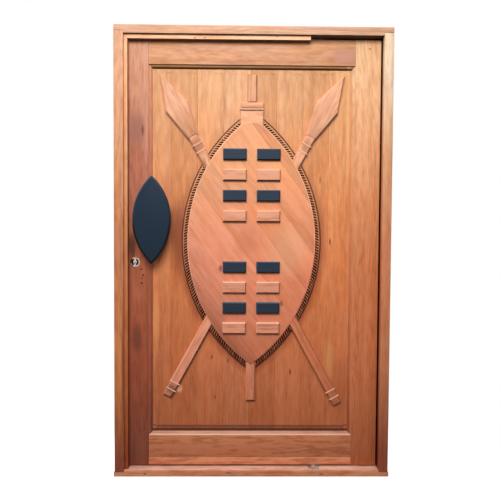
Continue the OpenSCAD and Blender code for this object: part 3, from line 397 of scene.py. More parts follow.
# %% Woods of the door
knot, hole, chip, mark = "#6b3420", "#2b1610", "#ffb48c", "#8f4a30"
wood_table = {
    "frame": dict(of="frame", tones=("#944a2e", "#e08b55", "#cc8159", "#dd9768", "#e2aa84"), rings=0.3,
                  spots=[(-608, 470, 9, 560, "#8f5334"), (-626, 560, 3, 560, "#de9468")]),
    "reveal": dict(of="pivot jamb", tones=("#944a31", "#d4875e", "#dc8b63", "#e2a578", "#f6d8b6"),
                   # The seam is a painted shadow in the gap between the leaf and the pivot jamb
                   seam=((0.59, 0.608), (-0.038, -0.014))),
    "sill": dict(of="sill", tones=("#d68e69",) * 5, figure=1.7,
                 spots=[(-505, 14, 12, 7, "#7a4a34"), (-110, 18, 26, 5, "#8f5a40"),
                        (330, 12, 20, 6, "#8f5a40")]),
    "stop": dict(of="stops", tones=("#954525", "#c97545", "#cc8256", "#e3a573", "#ffbf90"),
                 spots=[(-275, 2057, 9, 4, knot), (-229, 2058, 9, 4, knot), (106, 2066, 5, 4, knot)]),
    "latch": dict(
        of="latch stile", tones=("#7e4330", "#a5553a", "#b46645", "#bf765a", "#d99a78"), figure=1.3,
        # The first spot is a painted shadow of the pull handle on the stile
        spots=[(-572, 1085, 28, 110, "#64331f"), (-550, 650, 40, 120, "#6b392a", 0.7),
               (-552, 1640, 56, 130, "#a96c59"), (-548, 1815, 45, 60, "#dc9873", 0.7),
               (-548, 860, 40, 60, "#be6c4c", 0.6), (-523, 1638, 10, 40, "#7d4a3a"),
               (-528, 981, 7, 7, hole), (-521, 952, 7, 8, hole), (-527, 937, 6, 7, hole),
               (-528, 914, 9, 8, hole)]),
    "rail": dict(of="pivot stile and rails", tones=("#b9673f", "#dc8152", "#df8959", "#eda471", "#fcc99a"),
                 rings=0.32, spots=[(546, 2026, 9, 4, knot)]),
    "foot": dict(of="lower rails", tones=("#b9673f", "#dc8152", "#df8959", "#df8959", "#df8959"), figure=2.8,
                 # The long dark line at the foot is a painted shadow in the gap above the sill
                 spots=[(0, 35, 4000, 8, "#4a2010", 0.85)]),
    "top": dict(of="top rail", tones=("#e8a97f",) * 5, figure=1.2,
                spots=[(430, 1985, 110, 60, "#dca089", 0.8)]),
    "panel": dict(
        of="panel", tones=("#be6c45", "#da8052", "#ec905a", "#eb9e66", "#e2a876"), border="beside",
        spots=[(369, 1115, 5, 24, knot), (318, 1410, 4, 26, knot), (183, 488, 6, 24, knot),
               (-193, 560, 5, 17, knot), (-116, 541, 5, 15, knot), (-177, 366, 5, 17, knot),
               # The dark spot at x -352, between the handle and the shield, is a painted shadow
               (-350, 408, 25, 30, chip), (-352, 1135, 60, 300, "#9b5233", 0.9),
               (-398, 1375, 52, 120, "#cf7b50", 0.55), (372, 540, 34, 160, "#e9a566", 0.5),
               # The pale strips at x 448 and x -462 are painted highlights on the panel's bevels
               (448, 1700, 16, 520, "#ffc48c", 0.7), (420, 370, 80, 300, "#b25e36", 0.6),
               # The three long level lines at z 227, 206 and 186 are a painted shade line at the top of the
               # bottom bevel, a painted shadow between the bevel and the bead, and a painted highlight on the
               # bottom bead
               (-462, 740, 30, 260, "#ffa86c", 0.55), (-7, 227, 4000, 6, "#6e3a24", 0.8),
               (-7, 206, 4000, 11, "#4a2416", 0.9), (-7, 186, 4000, 5, "#ffdcc4", 0.6)]),
    "shield": dict(of="shield", tones=("#b16242", "#d87b56", "#ffa07a", "#f4ae81", "#cf845f"), figure=0.66,
                   spots=[(165, 1075, 150, 190, "#ffb98c", 0.6), (-38, 1105, 85, 110, "#d98059", 0.6),
                          (-152, 988, 14, 26, mark, 0.8), (137, 822, 12, 24, mark, 0.8)],
                   # The recess gives the shield's rim and joint grooves a painted highlight
                   recess=(-0.0398, -0.0392, painted_rim_highlight)),
    "plain": dict(of="plain blocks", tones=("#ec9c7c", "#ed9d7b", "#db9172", "#eda884", "#e2a07c"),
                  figure=2.2, spots=[(-7, 1240, 220, 34, "#fdb28e", 0.75)]),
    "carved": dict(of="carving", tones=("#ac6345", "#ce7a56", "#e29069", "#f9af84", "#fbba90"), figure=1.2,
                   spots=[(-386, 412, 42, 42, "#7a4028", 0.75), (-262, 1560, 50, 70, "#ad6845", 0.75),
                          (250, 1566, 48, 66, "#b9744e", 0.6)], pale="#ffcda6"),
    "rope": dict(of="rope border", tones=("#9a5940", "#bd7150", "#d98c66", "#f6b083", "#fabd94"),
                 border="rope", gleam=0.03),
}
woods = {label: varnished_hardwood(**settings) for label, settings in wood_table.items()}
print("woods", len(woods))

# %% [markdown]
# ## Boards with eased edges
# A joiner breaks every sharp edge with sandpaper, and that narrow edge is what catches the light. The CAD
# solids have sharp edges, so each wooden piece becomes a copy of its node: the loose triangles are merged,
# flat faces are joined up, and the long straight edges get a small round. The copy then stands for the node.
# The grain attribute is written last, from the final points, along the direction that the board was cut in.

# %% Copies of the CAD pieces
up, level_way = Vector((0, 0, 1)), Vector((1, 0, 0))
flat_angle, edge_angle, smooth_angle = [math.radians(degrees) for degrees in (0.6, 40, 32)]
left_share, darkest = 0.6, 0.92


def eased_copy(node, ease_mm, shortest_mm=25):
    mesh = frame["nodes"][node].data.copy()
    build = bmesh.new()
    build.from_mesh(mesh)
    bmesh.ops.remove_doubles(build, verts=build.verts, dist=1e-5)
    bmesh.ops.dissolve_limit(build, angle_limit=flat_angle, verts=build.verts, edges=build.edges)
    if ease_mm:
        sharp = [edge for edge in build.edges
                 if len(edge.link_faces) == 2 and edge.calc_length() > shortest_mm / 1000
                 and edge.calc_face_angle() > edge_angle]
        bmesh.ops.bevel(build, geom=sharp, offset=ease_mm / 1000, segments=2, profile=0.5,
                        affect="EDGES", clamp_overlap=True)
    build.to_mesh(mesh)
    build.free()
    mesh.materials.clear()
    mesh.shade_smooth()
    mesh.set_sharp_from_angle(angle=smooth_angle)
    return mesh


def mark_shade(mesh, down, lee, top=0.0):
    # Painted light and shade: faces that look down or to the right get a painted shade, faces that look up or
    # to the left a painted highlight
    looks = np.empty(len(mesh.polygons) * 3)
    mesh.polygons.foreach_get("normal", looks)
    looks = looks.reshape(-1, 3)
    painted_shade = down * np.maximum(-looks[:, 2], 0) + lee * np.maximum(looks[:, 0], 0)
    painted_shade -= top * np.maximum(looks[:, 2], 0) + left_share * top * np.maximum(-looks[:, 0], 0)
    shade = mesh.attributes.new("shade", "FLOAT", "FACE")
    shade.data.foreach_set("value", np.minimum(painted_shade, darkest))
    return mesh


def place_copy(node, mesh, material):
    mesh.materials.append(material)
    piece = new_object(node + "_piece", mesh)
    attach(piece, body_of[node])
    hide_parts(node)


print("darkest shade", darkest)

# %% [markdown]
# ## What a board knows about itself
# A board's tone is a share lighter or darker than its wood, its warmth makes it redder, and its seed sets its
# figure apart. The raised bands and the top of the sill get a painted highlight: they are lighter and less red.

# %% Boards with grain, tone and shade
# Tone, warmth and seed added for the painted highlight on the raised bands and on the top of the sill
band_highlight, top_highlight = (0.2, -0.2, 0), (0.45, -2.0, 0)


def wooden(node, wood, along, ease_mm=1.2, tone=0.0, warmth=0.0, seed=0.0, highlit=None, highlit_above=None,
           painted_shading=(2.3, 0.5)):
    # The bands are set by a depth, the length of head they leave out, both in mm, and how strong their painted
    # highlight is
    mesh = eased_copy(node, ease_mm)
    points = np.empty(len(mesh.vertices) * 3)
    mesh.vertices.foreach_get("co", points)
    points = points.reshape(-1, 3)
    middle = (points.min(0) + points.max(0)) / 2
    axes = np.array([along, Vector((along.z, 0, -along.x)), Vector((0, 1, 0))])
    cut = (points - middle) @ axes.T
    grain = mesh.attributes.new("grain", "FLOAT_VECTOR", "POINT")
    grain.data.foreach_set("vector", cut.ravel())
    own = np.tile((tone, warmth, seed), (len(points), 1))
    if highlit:
        front_mm, below_end_mm, paler = highlit
        bands = (points[:, 1] < front_mm / 1000) & (cut[:, 0] < cut[:, 0].max() - below_end_mm / 1000)
        own[bands] += band_highlight
    if highlit_above:
        own[points[:, 2] > highlit_above / 1000] += top_highlight
    board = mesh.attributes.new("board", "FLOAT_VECTOR", "POINT")
    board.data.foreach_set("vector", own.ravel())
    mark_shade(mesh, *painted_shading)
    # The front faces of the raised bands get a shade below zero, a painted highlight
    if highlit:
        shade = mesh.attributes["shade"].data
        for face in mesh.polygons:
            if bands[list(face.vertices)].all() and face.normal.y < -0.5:
                shade[face.index].value = -paler
    place_copy(node, mesh, woods[wood])


print("worn bands lighter by", band_highlight[0])

# %% [markdown]
# ## The frame and the leaf
# Jambs, stiles and panel boards have upright grain, and rails, head and sill have level grain. The painted
# shading numbers say how much painted shade a piece gets below and on its right, and how much painted
# highlight on its top and left.

# %% Frame, stops, stiles, rails and panel
wooden("jamb_left", "frame", up, seed=1.3, painted_shading=(2.3, 0.1))
wooden("jamb_right", "reveal", up, seed=2.1)
wooden("head", "frame", level_way, tone=0.03, warmth=-0.25, seed=3.7)
wooden("sill", "sill", level_way, ease_mm=0.8, seed=4.4, highlit_above=29.9)
wooden("stop_left", "stop", up, seed=5.2)
wooden("stop_right", "stop", up, seed=6.8)
# The front head stop's tone is raised as a painted highlight against the shadow that the head casts on it
wooden("head_stop_front", "stop", level_way, tone=0.32, warmth=-0.25, seed=7.1)
wooden("head_stop_rear", "stop", level_way, seed=8.5)
wooden("stile_left", "latch", up, seed=9.4)
wooden("stile_right", "rail", up, seed=10.2)
wooden("top_rail", "top", level_way, seed=11.9, painted_shading=(1.4, 0.5))
wooden("bottom_rail", "foot", level_way, tone=0.1, warmth=-1.0, seed=12.6)
wooden("kick_rail", "foot", level_way, tone=0.46, warmth=-1.6, seed=13.3)
board_tones = [(-0.05, -0.15), (-0.08, 0.1), (0.05, -0.1), (0.04, -0.4), (-0.08, 0.13), (0.04, -0.07),
               (-0.02, 0.1), (0.08, 0)]
for number, (tone, warmth) in enumerate(board_tones, 1):
    wooden(f"panel_board_{number}", "panel", up, ease_mm=0.5, tone=tone, warmth=warmth,
           seed=14 + 1.37 * number, painted_shading=(1.3, 0.15))
beads = [("bottom", "panel", level_way, 0.3, -2.2, (1.2, 0.5, 0.15)),
         ("right", "rail", up, -0.02, 0.1, (1.2, 0.5, 0.25)),
         ("top", "panel", level_way, -0.4, 0.3, (1.2, 0.5, 0.15)),
         ("left", "latch", up, 0.05, 0.2, (1.2, -0.15, 0.15))]
for number, (side, wood, way, tone, warmth, painted_shading) in enumerate(beads):
    wooden(f"bead_{side}", wood, way, ease_mm=0, tone=tone, warmth=warmth, seed=27 + 1.9 * number, painted_shading=painted_shading)
print("boards of the panel", len(board_tones), "beads", len(beads))

# %% [markdown]
# ## The shield, the spears and the staff
# The shield is glued up from diagonal boards, and each spear is cut along its own length, so their grain
# follows those directions. The raised bands stand proudest and get a painted highlight: faces in front of a
# given depth are pale cream, apart from the head of the spear.

# %% Ornament
slope = math.radians(53.5)
diagonal = Vector((math.cos(slope), 0, -math.sin(slope)))
shield_tones = [(-0.16, -0.3), (-0.03, -0.25), (0, -0.1), (-0.02, 0.1), (0.12, 0.15), (0.1, 0.2), (0, 0.25)]
for number, (tone, warmth) in enumerate(shield_tones, 1):
    wooden(f"shield_board_{number}", "shield", diagonal, ease_mm=0,
           tone=tone, warmth=warmth, seed=40 + 1.7 * number, painted_shading=(0.3, 0, 0.3))
lean = math.radians(28.65)
for side, sign in (("left", -1), ("right", 1)):
    head_way = Vector((sign * math.sin(lean), 0, math.cos(lean)))
    butt_way = Vector((-sign * math.sin(lean), 0, math.cos(lean)))
    wooden(f"spear_{side}_head", "carved", head_way, ease_mm=0, tone=0.02 + 0.04 * sign, warmth=-0.25,
           seed=60 + 3.1 * sign, highlit=(-37.5, 345, 0.85), painted_shading=(0.9, 0.3, 0.35))
    wooden(f"spear_{side}_butt", "carved", butt_way, ease_mm=0, tone=0.25 - 0.2 * sign,
           warmth=-0.5 + 0.6 * sign, seed=70 + 2.3 * sign, highlit=(-37.5, 0, 0.95), painted_shading=(1.4, 0.6, 0.35))
wooden("staff_top", "carved", up, ease_mm=0, tone=-0.08, warmth=-0.1, seed=81, painted_shading=(0.2, 0.5))
wooden("staff_bottom", "carved", up, ease_mm=0, tone=0.35, warmth=-0.5, seed=83, painted_shading=(1.4, 0.6, 0.3))
wooden("shield_neck", "carved", level_way, ease_mm=0, seed=85, highlit=(-40, -1, 0.95), painted_shading=(0.9, 0.4, 0.6))
wooden("shield_border", "rope", up, ease_mm=0, seed=87, painted_shading=(1.2, 0.3))
wooden("blocks_natural", "plain", level_way, ease_mm=0, seed=89, painted_shading=(2.3, 0.7, 0.8))
print("boards of the shield", len(shield_tones))

# %% [markdown]
# ## Dark blocks and the pull handle
# Half of the blocks are stained blue black, so a little of the grain still shows. The almond handle is
# steel with a satin paint of the same colour, which is smoother and even. The lower rim of the handle gets a
# painted black shade. Its outline is again two arcs, found from the box of the plate. Both finishes darken
# towards the foot as a painted light falloff.

# %% Dark finishes
# The first colour is a painted black shade for the lower rim of the handle
painted_rim_shade, sky_blue, rough_range, dull = "#120c0b", "#7f93a8", 0.06, 0.08
streak_detail, streak_span, streak_relief = (4.0, 0.5), (0.3, 0.75), 0.2
# A painted light falloff: the finish darkens from the upper height to the lower, down to this share; lengths
# are in metres
falloff_foot, falloff_top, falloff_least = 0.75, 1.5, 0.7
# The painted shade of the rim starts and is full so far inside the edge, and fades between these heights about
# the middle
rim_shade_starts, rim_shade_full, rim_shade_top, rim_shade_foot = 0.011, 0.007, 0.03, -0.05


def two_tone(tree, place, stretch, detail, span, codes):
    # A noise of the given stretch, the share of the second colour, and the mixed colour
    drawn = add(tree, "ShaderNodeVectorMath", {0: place, 1: stretch}, operation="MULTIPLY").outputs[0]
    noise = add(tree, "ShaderNodeTexNoise",
                {"Vector": drawn, "Scale": 1.0, "Detail": detail[0], "Roughness": detail[1]}).outputs["Fac"]
    share = add(tree, "ShaderNodeMapRange",
                {"Value": noise, "From Min": span[0], "From Max": span[1]}).outputs[0]
    first, second = [linear(code) for code in codes]
    mixed = add(tree, "ShaderNodeMix", {0: share, 6: first, 7: second}, data_type="RGBA").outputs[2]
    return noise, share, mixed


def dark_finish(name, codes, stretch, rough, grit, almond=None):
    material, tree = new_material(name)
    place = add(tree, "ShaderNodeTexCoord").outputs["Object"]
    streaks, _, colour = two_tone(tree, place, stretch, streak_detail, streak_span, codes)
    where = add(tree, "ShaderNodeSeparateXYZ", {"Vector": place}).outputs
    fade = add(tree, "ShaderNodeMapRange", {"Value": where["Z"], "From Min": falloff_foot, "From Max": falloff_top,
                                            "To Min": falloff_least}).outputs[0]
    colour = add(tree, "ShaderNodeVectorMath", {0: colour, "Scale": fade}, operation="SCALE").outputs[0]
    # A painted black shade along the lower rim of the almond
    if almond:
        low, high = almond
        half_w, half_h = (high[0] - low[0]) / 2, (high[2] - low[2]) / 2
        bow = (half_w ** 2 + half_h ** 2) / (2 * half_w)
        middle_z = low[2] + half_h
        reach = from_arcs(tree, where, low[0] + half_w, middle_z, bow - half_w)[0]
        edge = add(tree, "ShaderNodeMapRange",
                   {"Value": reach, "From Min": bow - rim_shade_starts, "From Max": bow - rim_shade_full}).outputs[0]
        below = add(tree, "ShaderNodeMapRange", {"Value": where["Z"], "From Min": middle_z + rim_shade_top,
                                                 "From Max": middle_z + rim_shade_foot}).outputs[0]
        black = add(tree, "ShaderNodeMath", {0: edge, 1: below}, operation="MULTIPLY").outputs[0]
        colour = add(tree, "ShaderNodeMix", {0: black, 6: colour, 7: linear(painted_rim_shade)},
                     data_type="RGBA").outputs[2]
    # The blue is the colour of painted highlights on faces that look up or left; the shade attribute paints the
    # undersides
    surface(tree, shaded(tree, colour, sky_blue), streaks, (rough - rough_range, rough + rough_range),
            streaks, (streak_relief, grit), {"Specular IOR Level": dull})
    return material


# Grain of 4 mm across the blocks; orange peel of 2 mm on the paint
stain = dark_finish("blue black stained hardwood", ("#2f3a4a", "#3d4959"), (9, 250, 250), 0.5, 0.0005)
paint = dark_finish("blue black satin paint on steel", ("#243140", "#2b394a"), (500, 500, 500), 0.4, 0.0002,
                    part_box("handle_plate"))
place_copy("blocks_dark", mark_shade(eased_copy("blocks_dark", 0), 2.2, 0.6, 0.5), stain)
place_copy("handle_plate", mark_shade(eased_copy("handle_plate", 4, 1), 2.5, 0.2, 0.6), paint)
place_copy("handle_posts", mark_shade(eased_copy("handle_posts", 0), 1.2, 0.2), paint)
print("dark pieces 3")

# %% [markdown]
# ## Metals
# The rose, the cylinder and its plug are chrome plate, the floor plate is steel that shoes have scratched,
# and the deadbolt, the washer and the bush are brass. A metal gets its colour from its reflection, so base
# colour is bright, metallic is 1, and scratches or a brushed finish come from roughness. The default IOR
# stays. The rose's chrome is tinted brown and the floor plate's steel warm, a painted reflection of the
# wood. The rose has a turned recess round the keyway, with a painted dark reflection in two crescents, one
# either side of the keyway.

# %% Metal finishes
scratch_detail, scratch_span, scratch_relief = (5.0, 0.7), (0.42, 0.62), (0.15, 0.0002)
painted_reflection_black = "#1d1512"


# Paints a dark reflection: two crescents in the turned recess, one either side of the keyway
def recess_painted_reflection(tree, place, turned):
    # x and z of the recess's middle, its two radii and half the clear width of the keyway, in mm
    x, z, inner, outer, clear = [v / 1000 for v in turned]
    off = add(tree, "ShaderNodeVectorMath", {0: place, 1: (x, 0, z)}, operation="SUBTRACT").outputs[0]
    flat = add(tree, "ShaderNodeVectorMath", {0: off, 1: (1, 0, 1)}, operation="MULTIPLY").outputs[0]
    reach = add(tree, "ShaderNodeVectorMath", {0: flat}, operation="LENGTH").outputs["Value"]
    aside = add(tree, "ShaderNodeSeparateXYZ", {"Vector": off}).outputs["X"]
    aside = add(tree, "ShaderNodeMath", {0: aside}, operation="ABSOLUTE").outputs[0]
    crescents = 1.0
    for value, limit, test in ((reach, inner, "GREATER_THAN"), (reach, outer, "LESS_THAN"),
                               (aside, clear, "GREATER_THAN")):
        holds = add(tree, "ShaderNodeMath", {0: value, 1: limit}, operation=test).outputs[0]
        crescents = add(tree, "ShaderNodeMath", {0: crescents, 1: holds}, operation="MULTIPLY").outputs[0]
    return crescents


def metal(name, codes, stretch, gloss, turned=None):
    material, tree = new_material(name)
    place = add(tree, "ShaderNodeTexCoord").outputs["Object"]
    lines, share, colour = two_tone(tree, place, stretch, scratch_detail, scratch_span, codes)
    if turned:
        crescents = recess_painted_reflection(tree, place, turned)
        colour = add(tree, "ShaderNodeMix", {0: crescents, 6: colour, 7: linear(painted_reflection_black)},
                     data_type="RGBA").outputs[2]
    surface(tree, colour, share, gloss, lines, scratch_relief, {"Metallic": 1.0})
    return material


chrome = metal("chrome plate", ("#d9d3d0", "#8f8580"), (90, 90, 90), (0.08, 0.3))
# The rose's chrome is tinted brown as a painted reflection of the wood
turned_chrome = metal("turned chrome plate of the rose", ("#e2bfa9", "#b28d7a"), (90, 90, 90), (0.08, 0.3),
                      (-558, 1015, 8.5, 17, 4.5))
steel = metal("brushed steel", ("#b9bbbd", "#a7a8aa"), (40, 900, 900), (0.28, 0.42))
# The warm tint of the floor plate's steel is a painted reflection of the door
scratched = metal("scratched floor plate steel", ("#d8bfad", "#ffffff"), (150, 150, 150), (0.4, 0.75))
brass = metal("machined brass", ("#c2a064", "#ae8d55"), (200, 200, 900), (0.2, 0.34))
# Finish, easing of the edges, and pieces
metal_pieces = [
    (turned_chrome, (0,), ("rose_outer", "rose_inner")),
    (chrome, (0,), ("lock_cylinder", "lock_plug")),
    (brass, (0.4, 10), ("deadbolt",)),
    (scratched, (0.5,), ("floor_pivot",)),
    (steel, (0,), ("top_pivot", "strike_plate", "pivot_shoe", "lock_case", "handle_bolts")),
    (brass, (0,), ("thrust_washer", "top_bush")),
]
for finish, ease, nodes in metal_pieces:
    for node in nodes:
        place_copy(node, eased_copy(node, *ease), finish)
print("kinds of metal pieces", len(metal_pieces))

# %% [markdown]
# ## Screws in the plates
# The floor plate, the strike plate and the face of the lock case are held by countersunk wood screws. One
# head with a cross recess is modelled once. Geometry Nodes then set a copy on each point of a small mesh and
# turn it to face along that point's facing attribute, which is surer than placing copies by hand.

# %% One countersunk head
rim_points, crown_share, crown_rise = 24, 0.86, 0.0005
cross_depth, cross_reach = 0.0006, 0.55


def screw_head(radius_mm):
    build = bmesh.new()
    radius, arm = radius_mm / 1000, radius_mm / 2600
    rim = [build.verts.new((radius * math.cos(a), radius * math.sin(a), 0))
           for a in (math.tau * i / rim_points for i in range(rim_points))]
    crown = [build.verts.new((crown_share * v.co.x, crown_share * v.co.y, crown_rise)) for v in rim]
    half, reach = arm / 2, cross_reach * radius
    outline = [(half, half), (half, reach), (-half, reach), (-half, half), (-reach, half), (-reach, -half),
               (-half, -half), (-half, -reach), (half, -reach), (half, -half), (reach, -half), (reach, half)]
    top = [build.verts.new((x, y, crown_rise)) for x, y in outline]
    floor = [build.verts.new((x, y, crown_rise - cross_depth)) for x, y in outline]
    next_rim, next_crown, next_top, next_floor = [ring[1:] + ring[:1] for ring in (rim, crown, top, floor)]
    for quad in zip(rim, next_rim, next_crown, crown):
        build.faces.new(quad)
    edges = [build.edges.get(pair) for pair in zip(crown, next_crown)]
    edges += [build.edges.new(pair) for pair in zip(top, next_top)]
    bmesh.ops.triangle_fill(build, edges=edges, use_beauty=True)
    inside = [face for face in build.faces if all(vert in top for vert in face.verts)]
    bmesh.ops.delete(build, geom=inside, context="FACES_ONLY")
    for quad in zip(top, floor, next_floor, next_top):
        build.faces.new(quad)
    build.faces.new(floor)
    build.faces.new(list(reversed(rim)))
    bmesh.ops.recalc_face_normals(build, faces=build.faces)
    return finished_mesh("screw head", build)


print("points of a rim", rim_points)

# %% Screws on the plates by Geometry Nodes
def instance_tree(name):
    tree = bpy.data.node_groups.new(name, "GeometryNodeTree")
    known = {}
    for label, way, kind in (("Points", "INPUT", "Geometry"), ("Pattern", "INPUT", "Object"),
                             ("Finish", "INPUT", "Material"), ("Pieces", "OUTPUT", "Geometry")):
        socket = tree.interface.new_socket(label, in_out=way, socket_type="NodeSocket" + kind)
        known[label] = socket.identifier
    given = add(tree, "NodeGroupInput").outputs
    facing = add(tree, "GeometryNodeInputNamedAttribute", {"Name": "facing"}, data_type="FLOAT_VECTOR")
    turned = add(tree, "FunctionNodeAlignRotationToVector", {"Vector": facing.outputs["Attribute"]}, axis="Z")
    shape = add(tree, "GeometryNodeObjectInfo", {"Object": given["Pattern"]}).outputs["Geometry"]
    copies = add(tree, "GeometryNodeInstanceOnPoints",
                 {"Points": given["Points"], "Instance": shape, "Rotation": turned.outputs[0]}).outputs[0]
    solid = add(tree, "GeometryNodeRealizeInstances", {"Geometry": copies}).outputs[0]
    finished = add(tree, "GeometryNodeSetMaterial", {"Geometry": solid, "Material": given["Finish"]})
    add(tree, "NodeGroupOutput", {"Pieces": finished.outputs[0]})
    return tree, known["Pattern"], known["Finish"]


def set_out(name, body, places, pattern_mesh, finish):
    tree, pattern_id, finish_id = copies_tree
    mesh = bpy.data.meshes.new(name + " points")
    mesh.from_pydata([Vector(point) / 1000 for point, facing in places], [], [])
    facing = mesh.attributes.new("facing", "FLOAT_VECTOR", "POINT")
    facing.data.foreach_set("vector", [c for point, way in places for c in way])
    holder, pattern = new_object(name + "_points", mesh), new_object(name + "_pattern", pattern_mesh)
    modifier = holder.modifiers.new("copies", "NODES")
    modifier.node_group = tree
    modifier[pattern_id] = pattern
    modifier[finish_id] = finish
    result = bpy.data.meshes.new_from_object(holder.evaluated_get(bpy.context.evaluated_depsgraph_get()))
    bpy.data.objects.remove(holder)
    bpy.data.objects.remove(pattern)
    piece = new_object(name, result)
    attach(piece, body)
    print(name, len(places), "copies,", len(result.polygons), "faces")


copies_tree = instance_tree("copies on points")
sill_top, jamb_face, leaf_edge = 30, -604, -600
floor_screws = [((x, y, sill_top), (0, 0, 1)) for x in (281, 319) for y in (-46, 27)]
strike_screws = [((jamb_face, 0, z), (1, 0, 0)) for z in (1006, 1085)]
case_screws = [((leaf_edge, 0, z), (-1, 0, 0)) for z in (962, 1096)]
set_out("plate_screws", "frame", floor_screws + strike_screws, screw_head(4.2), steel)
set_out("case_screws", "leaf", case_screws, screw_head(4.0), steel)

# %% [markdown]
# ## Panel pins in the stops and beads
# The stops and beads are planted on with thin pins, punched below the face and filled. The rows are short
# lists of evenly spaced points, and the same tree sets a small filled head on each. Filler is a dull brown
# paste, a little darker than the wood, with a fine grit of 1 mm.

# %% Rows of pin heads
outward, filler_rough = (0, -1, 0), 0.7


def pin_head():
    build = bmesh.new()
    bmesh.ops.create_cone(build, cap_ends=True, segments=12, radius1=0.0016, radius2=0.0012, depth=0.0004)
    return finished_mesh("pin head", build)


def row(start, end, count):
    return [(Vector(start).lerp(Vector(end), i / (count - 1)), outward) for i in range(count)]


filler, tree = new_material("wood filler over pins")
place = add(tree, "ShaderNodeTexCoord").outputs["Object"]
grit = add(tree, "ShaderNodeTexNoise", {"Vector": place, "Scale": 1000.0}).outputs["Fac"]
paste = add(tree, "ShaderNodeMix", {0: grit, 6: linear("#b47a58"), 7: linear("#8f5a3e")},
            data_type="RGBA").outputs[2]
shader = add(tree, "ShaderNodeBsdfPrincipled", {"Base Color": paste, "Roughness": filler_rough}).outputs[0]
add(tree, "ShaderNodeOutputMaterial", {"Surface": shader})

stop_front, bead_front = 1000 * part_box("stop_left")[0][1], -19
stop_pins = (row((-594, stop_front, 120), (-594, stop_front, 1980), 8)
             + row((-520, stop_front, 2061), (220, stop_front, 2061), 4))
bead_pins = []
for z in (188, 1937):
    bead_pins += row((-430, bead_front, z), (410, bead_front, z), 5)
for x in (-488, 473):
    bead_pins += row((x, bead_front, 300), (x, bead_front, 1830), 8)
set_out("stop_pins", "frame", stop_pins, pin_head(), filler)
set_out("bead_pins", "leaf", bead_pins, pin_head(), filler)

# %% [markdown]
# ## Floor and background
# A plain white floor carries the soft shadow of the door. Away from the door it fades into the white
# background for the camera, and for mirrors and glass, so the horizon doesn't show. For all other rays the
# world is a dim sky, brighter overhead than near the ground, because a white world would flood the door. For
# those rays the floor is grey too, so that it throws little light up under the blocks and beads.

# %% Floor
floor_half, floor_z, floor_spread = 12, -0.0005, (0.75, 1.6, 1)
grey, near_white, white = (0.08, 0.08, 0.08, 1), (0.9, 0.9, 0.9, 1), (1, 1, 1, 1)
fade_from, fade_to, lift_level = 0.55, 1.2, 0.75


def seen_rays(tree):
    rays = add(tree, "ShaderNodeLightPath").outputs
    seen = rays["Is Camera Ray"]
    for kind in ("Is Glossy Ray", "Is Transmission Ray"):
        seen = add(tree, "ShaderNodeMath", {0: seen, 1: rays[kind]}, operation="MAXIMUM").outputs[0]
    return seen


floor_mesh = bpy.data.meshes.new("floor")
corners = [(x * floor_half, y * floor_half, floor_z) for x, y in ((-1, -1), (1, -1), (1, 1), (-1, 1))]
floor_mesh.from_pydata(corners, [], [(0, 1, 2, 3)])
floor = new_object("studio_floor", floor_mesh)
floor_paint, tree = new_material("matt white studio floor")
place = add(tree, "ShaderNodeTexCoord").outputs["Object"]
spread = add(tree, "ShaderNodeVectorMath", {0: place, 1: floor_spread}, operation="MULTIPLY").outputs[0]
spread = add(tree, "ShaderNodeVectorMath", {0: spread}, operation="LENGTH").outputs["Value"]
fade = add(tree, "ShaderNodeMapRange", {"Value": spread, "From Min": fade_from, "From Max": fade_to},
           interpolation_type="SMOOTHSTEP").outputs[0]
floor_seen = seen_rays(tree)
away = add(tree, "ShaderNodeMath", {0: fade, 1: floor_seen}, operation="MULTIPLY").outputs[0]
floor_tone = add(tree, "ShaderNodeMix", {0: floor_seen, 6: grey, 7: near_white}, data_type="RGBA").outputs[2]
matt = add(tree, "ShaderNodeBsdfDiffuse", {"Color": floor_tone}).outputs[0]
lift = add(tree, "ShaderNodeMath", {0: floor_seen, 1: lift_level}, operation="MULTIPLY").outputs[0]
lifted = add(tree, "ShaderNodeEmission", {"Color": white, "Strength": lift}).outputs[0]
matt = add(tree, "ShaderNodeAddShader", {0: matt, 1: lifted}).outputs[0]
backdrop = add(tree, "ShaderNodeEmission", {"Color": white, "Strength": 1.0}).outputs[0]
mixed = add(tree, "ShaderNodeMixShader", {0: away, 1: matt, 2: backdrop}).outputs[0]
add(tree, "ShaderNodeOutputMaterial", {"Surface": mixed})
floor_mesh.materials.append(floor_paint)
print("floor", 2 * floor_half, "m square")

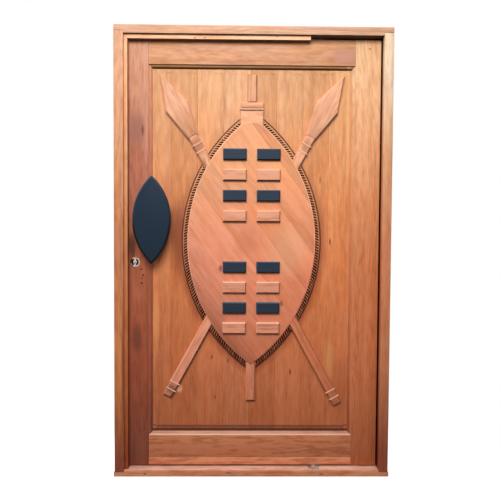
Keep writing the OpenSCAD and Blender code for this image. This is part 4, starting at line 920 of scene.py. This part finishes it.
# %% World
low_level, top_level = 0.28, 0.8
world = bpy.data.worlds.new("studio")
bpy.context.scene.world = world
world.use_nodes = True
tree = world.node_tree
tree.nodes.clear()
toward = add(tree, "ShaderNodeTexCoord").outputs["Generated"]
height = add(tree, "ShaderNodeSeparateXYZ", {"Vector": toward}).outputs["Z"]
height = add(tree, "ShaderNodeMath", {0: height, 1: height}, operation="MULTIPLY").outputs[0]
dim = add(tree, "ShaderNodeMapRange", {"Value": height, "To Min": low_level, "To Max": top_level}).outputs[0]
strength = add(tree, "ShaderNodeMix", {0: seen_rays(tree), 2: dim, 3: 1.0}).outputs[0]
sky = add(tree, "ShaderNodeBackground", {"Color": white, "Strength": strength}).outputs[0]
add(tree, "ShaderNodeOutputWorld", {"Surface": sky})
print("sky light", low_level, "to", top_level)

# %% [markdown]
# ## Light
# The door was lit from above, a little from the left: the tops and left sides of blocks and beads are bright,
# a dark line lies under each, and the light weakens towards the foot. One large soft lamp high on the left,
# not far in front of the door, does part of that; painted shade and highlight on the faces and a painted
# light falloff in the wood's tones do the rest.

# %% Lamp
lamp_place, lamp_aim = Vector((-0.35, -3.0, 3.1)), Vector((0, 0, 1.2))
light = bpy.data.lights.new("porch_light", "AREA")
light.shape, light.size, light.size_y, light.energy = "RECTANGLE", 2.2, 1.5, 98
lamp_turn = (lamp_aim - lamp_place).to_track_quat("-Z", "Y").to_matrix().to_4x4()
new_object("porch_light", light).matrix_world = Matrix.Translation(lamp_place) @ lamp_turn
print("lamp", light.energy, "W")

# %% [markdown]
# ## Camera
# The place, tilt and focal length of the camera were fitted to the corners of the frame in the photograph.
# The picture is taken as square, so the focal length in pixels gives the lens for a 36 mm sensor.

# %% Camera
focal_px, picture_px, sensor_mm = 496.064, 500, 36
camera_place = (-0.04357, -2.38269, 1.15376)
pitch, roll, yaw = -0.0334, 0.0061, -0.0128
flat_right = Vector((math.cos(yaw), math.sin(yaw), 0))
flat_ahead = Vector((-math.sin(yaw), math.cos(yaw), 0))
ahead = math.cos(pitch) * flat_ahead + math.sin(pitch) * up
over = -math.sin(pitch) * flat_ahead + math.cos(pitch) * up
right = math.cos(roll) * flat_right + math.sin(roll) * over
above = -math.sin(roll) * flat_right + math.cos(roll) * over
camera = new_object("photo_camera", bpy.data.cameras.new("photo_camera"))
camera.data.sensor_width = sensor_mm
camera.data.lens = sensor_mm * focal_px / picture_px
turn = Matrix((right, above, -ahead)).transposed().to_4x4()
camera.matrix_world = Matrix.Translation(camera_place) @ turn
bpy.context.scene.camera = camera
bpy.context.scene.view_settings.view_transform = "Standard"
print("lens", round(camera.data.lens, 2), "mm")
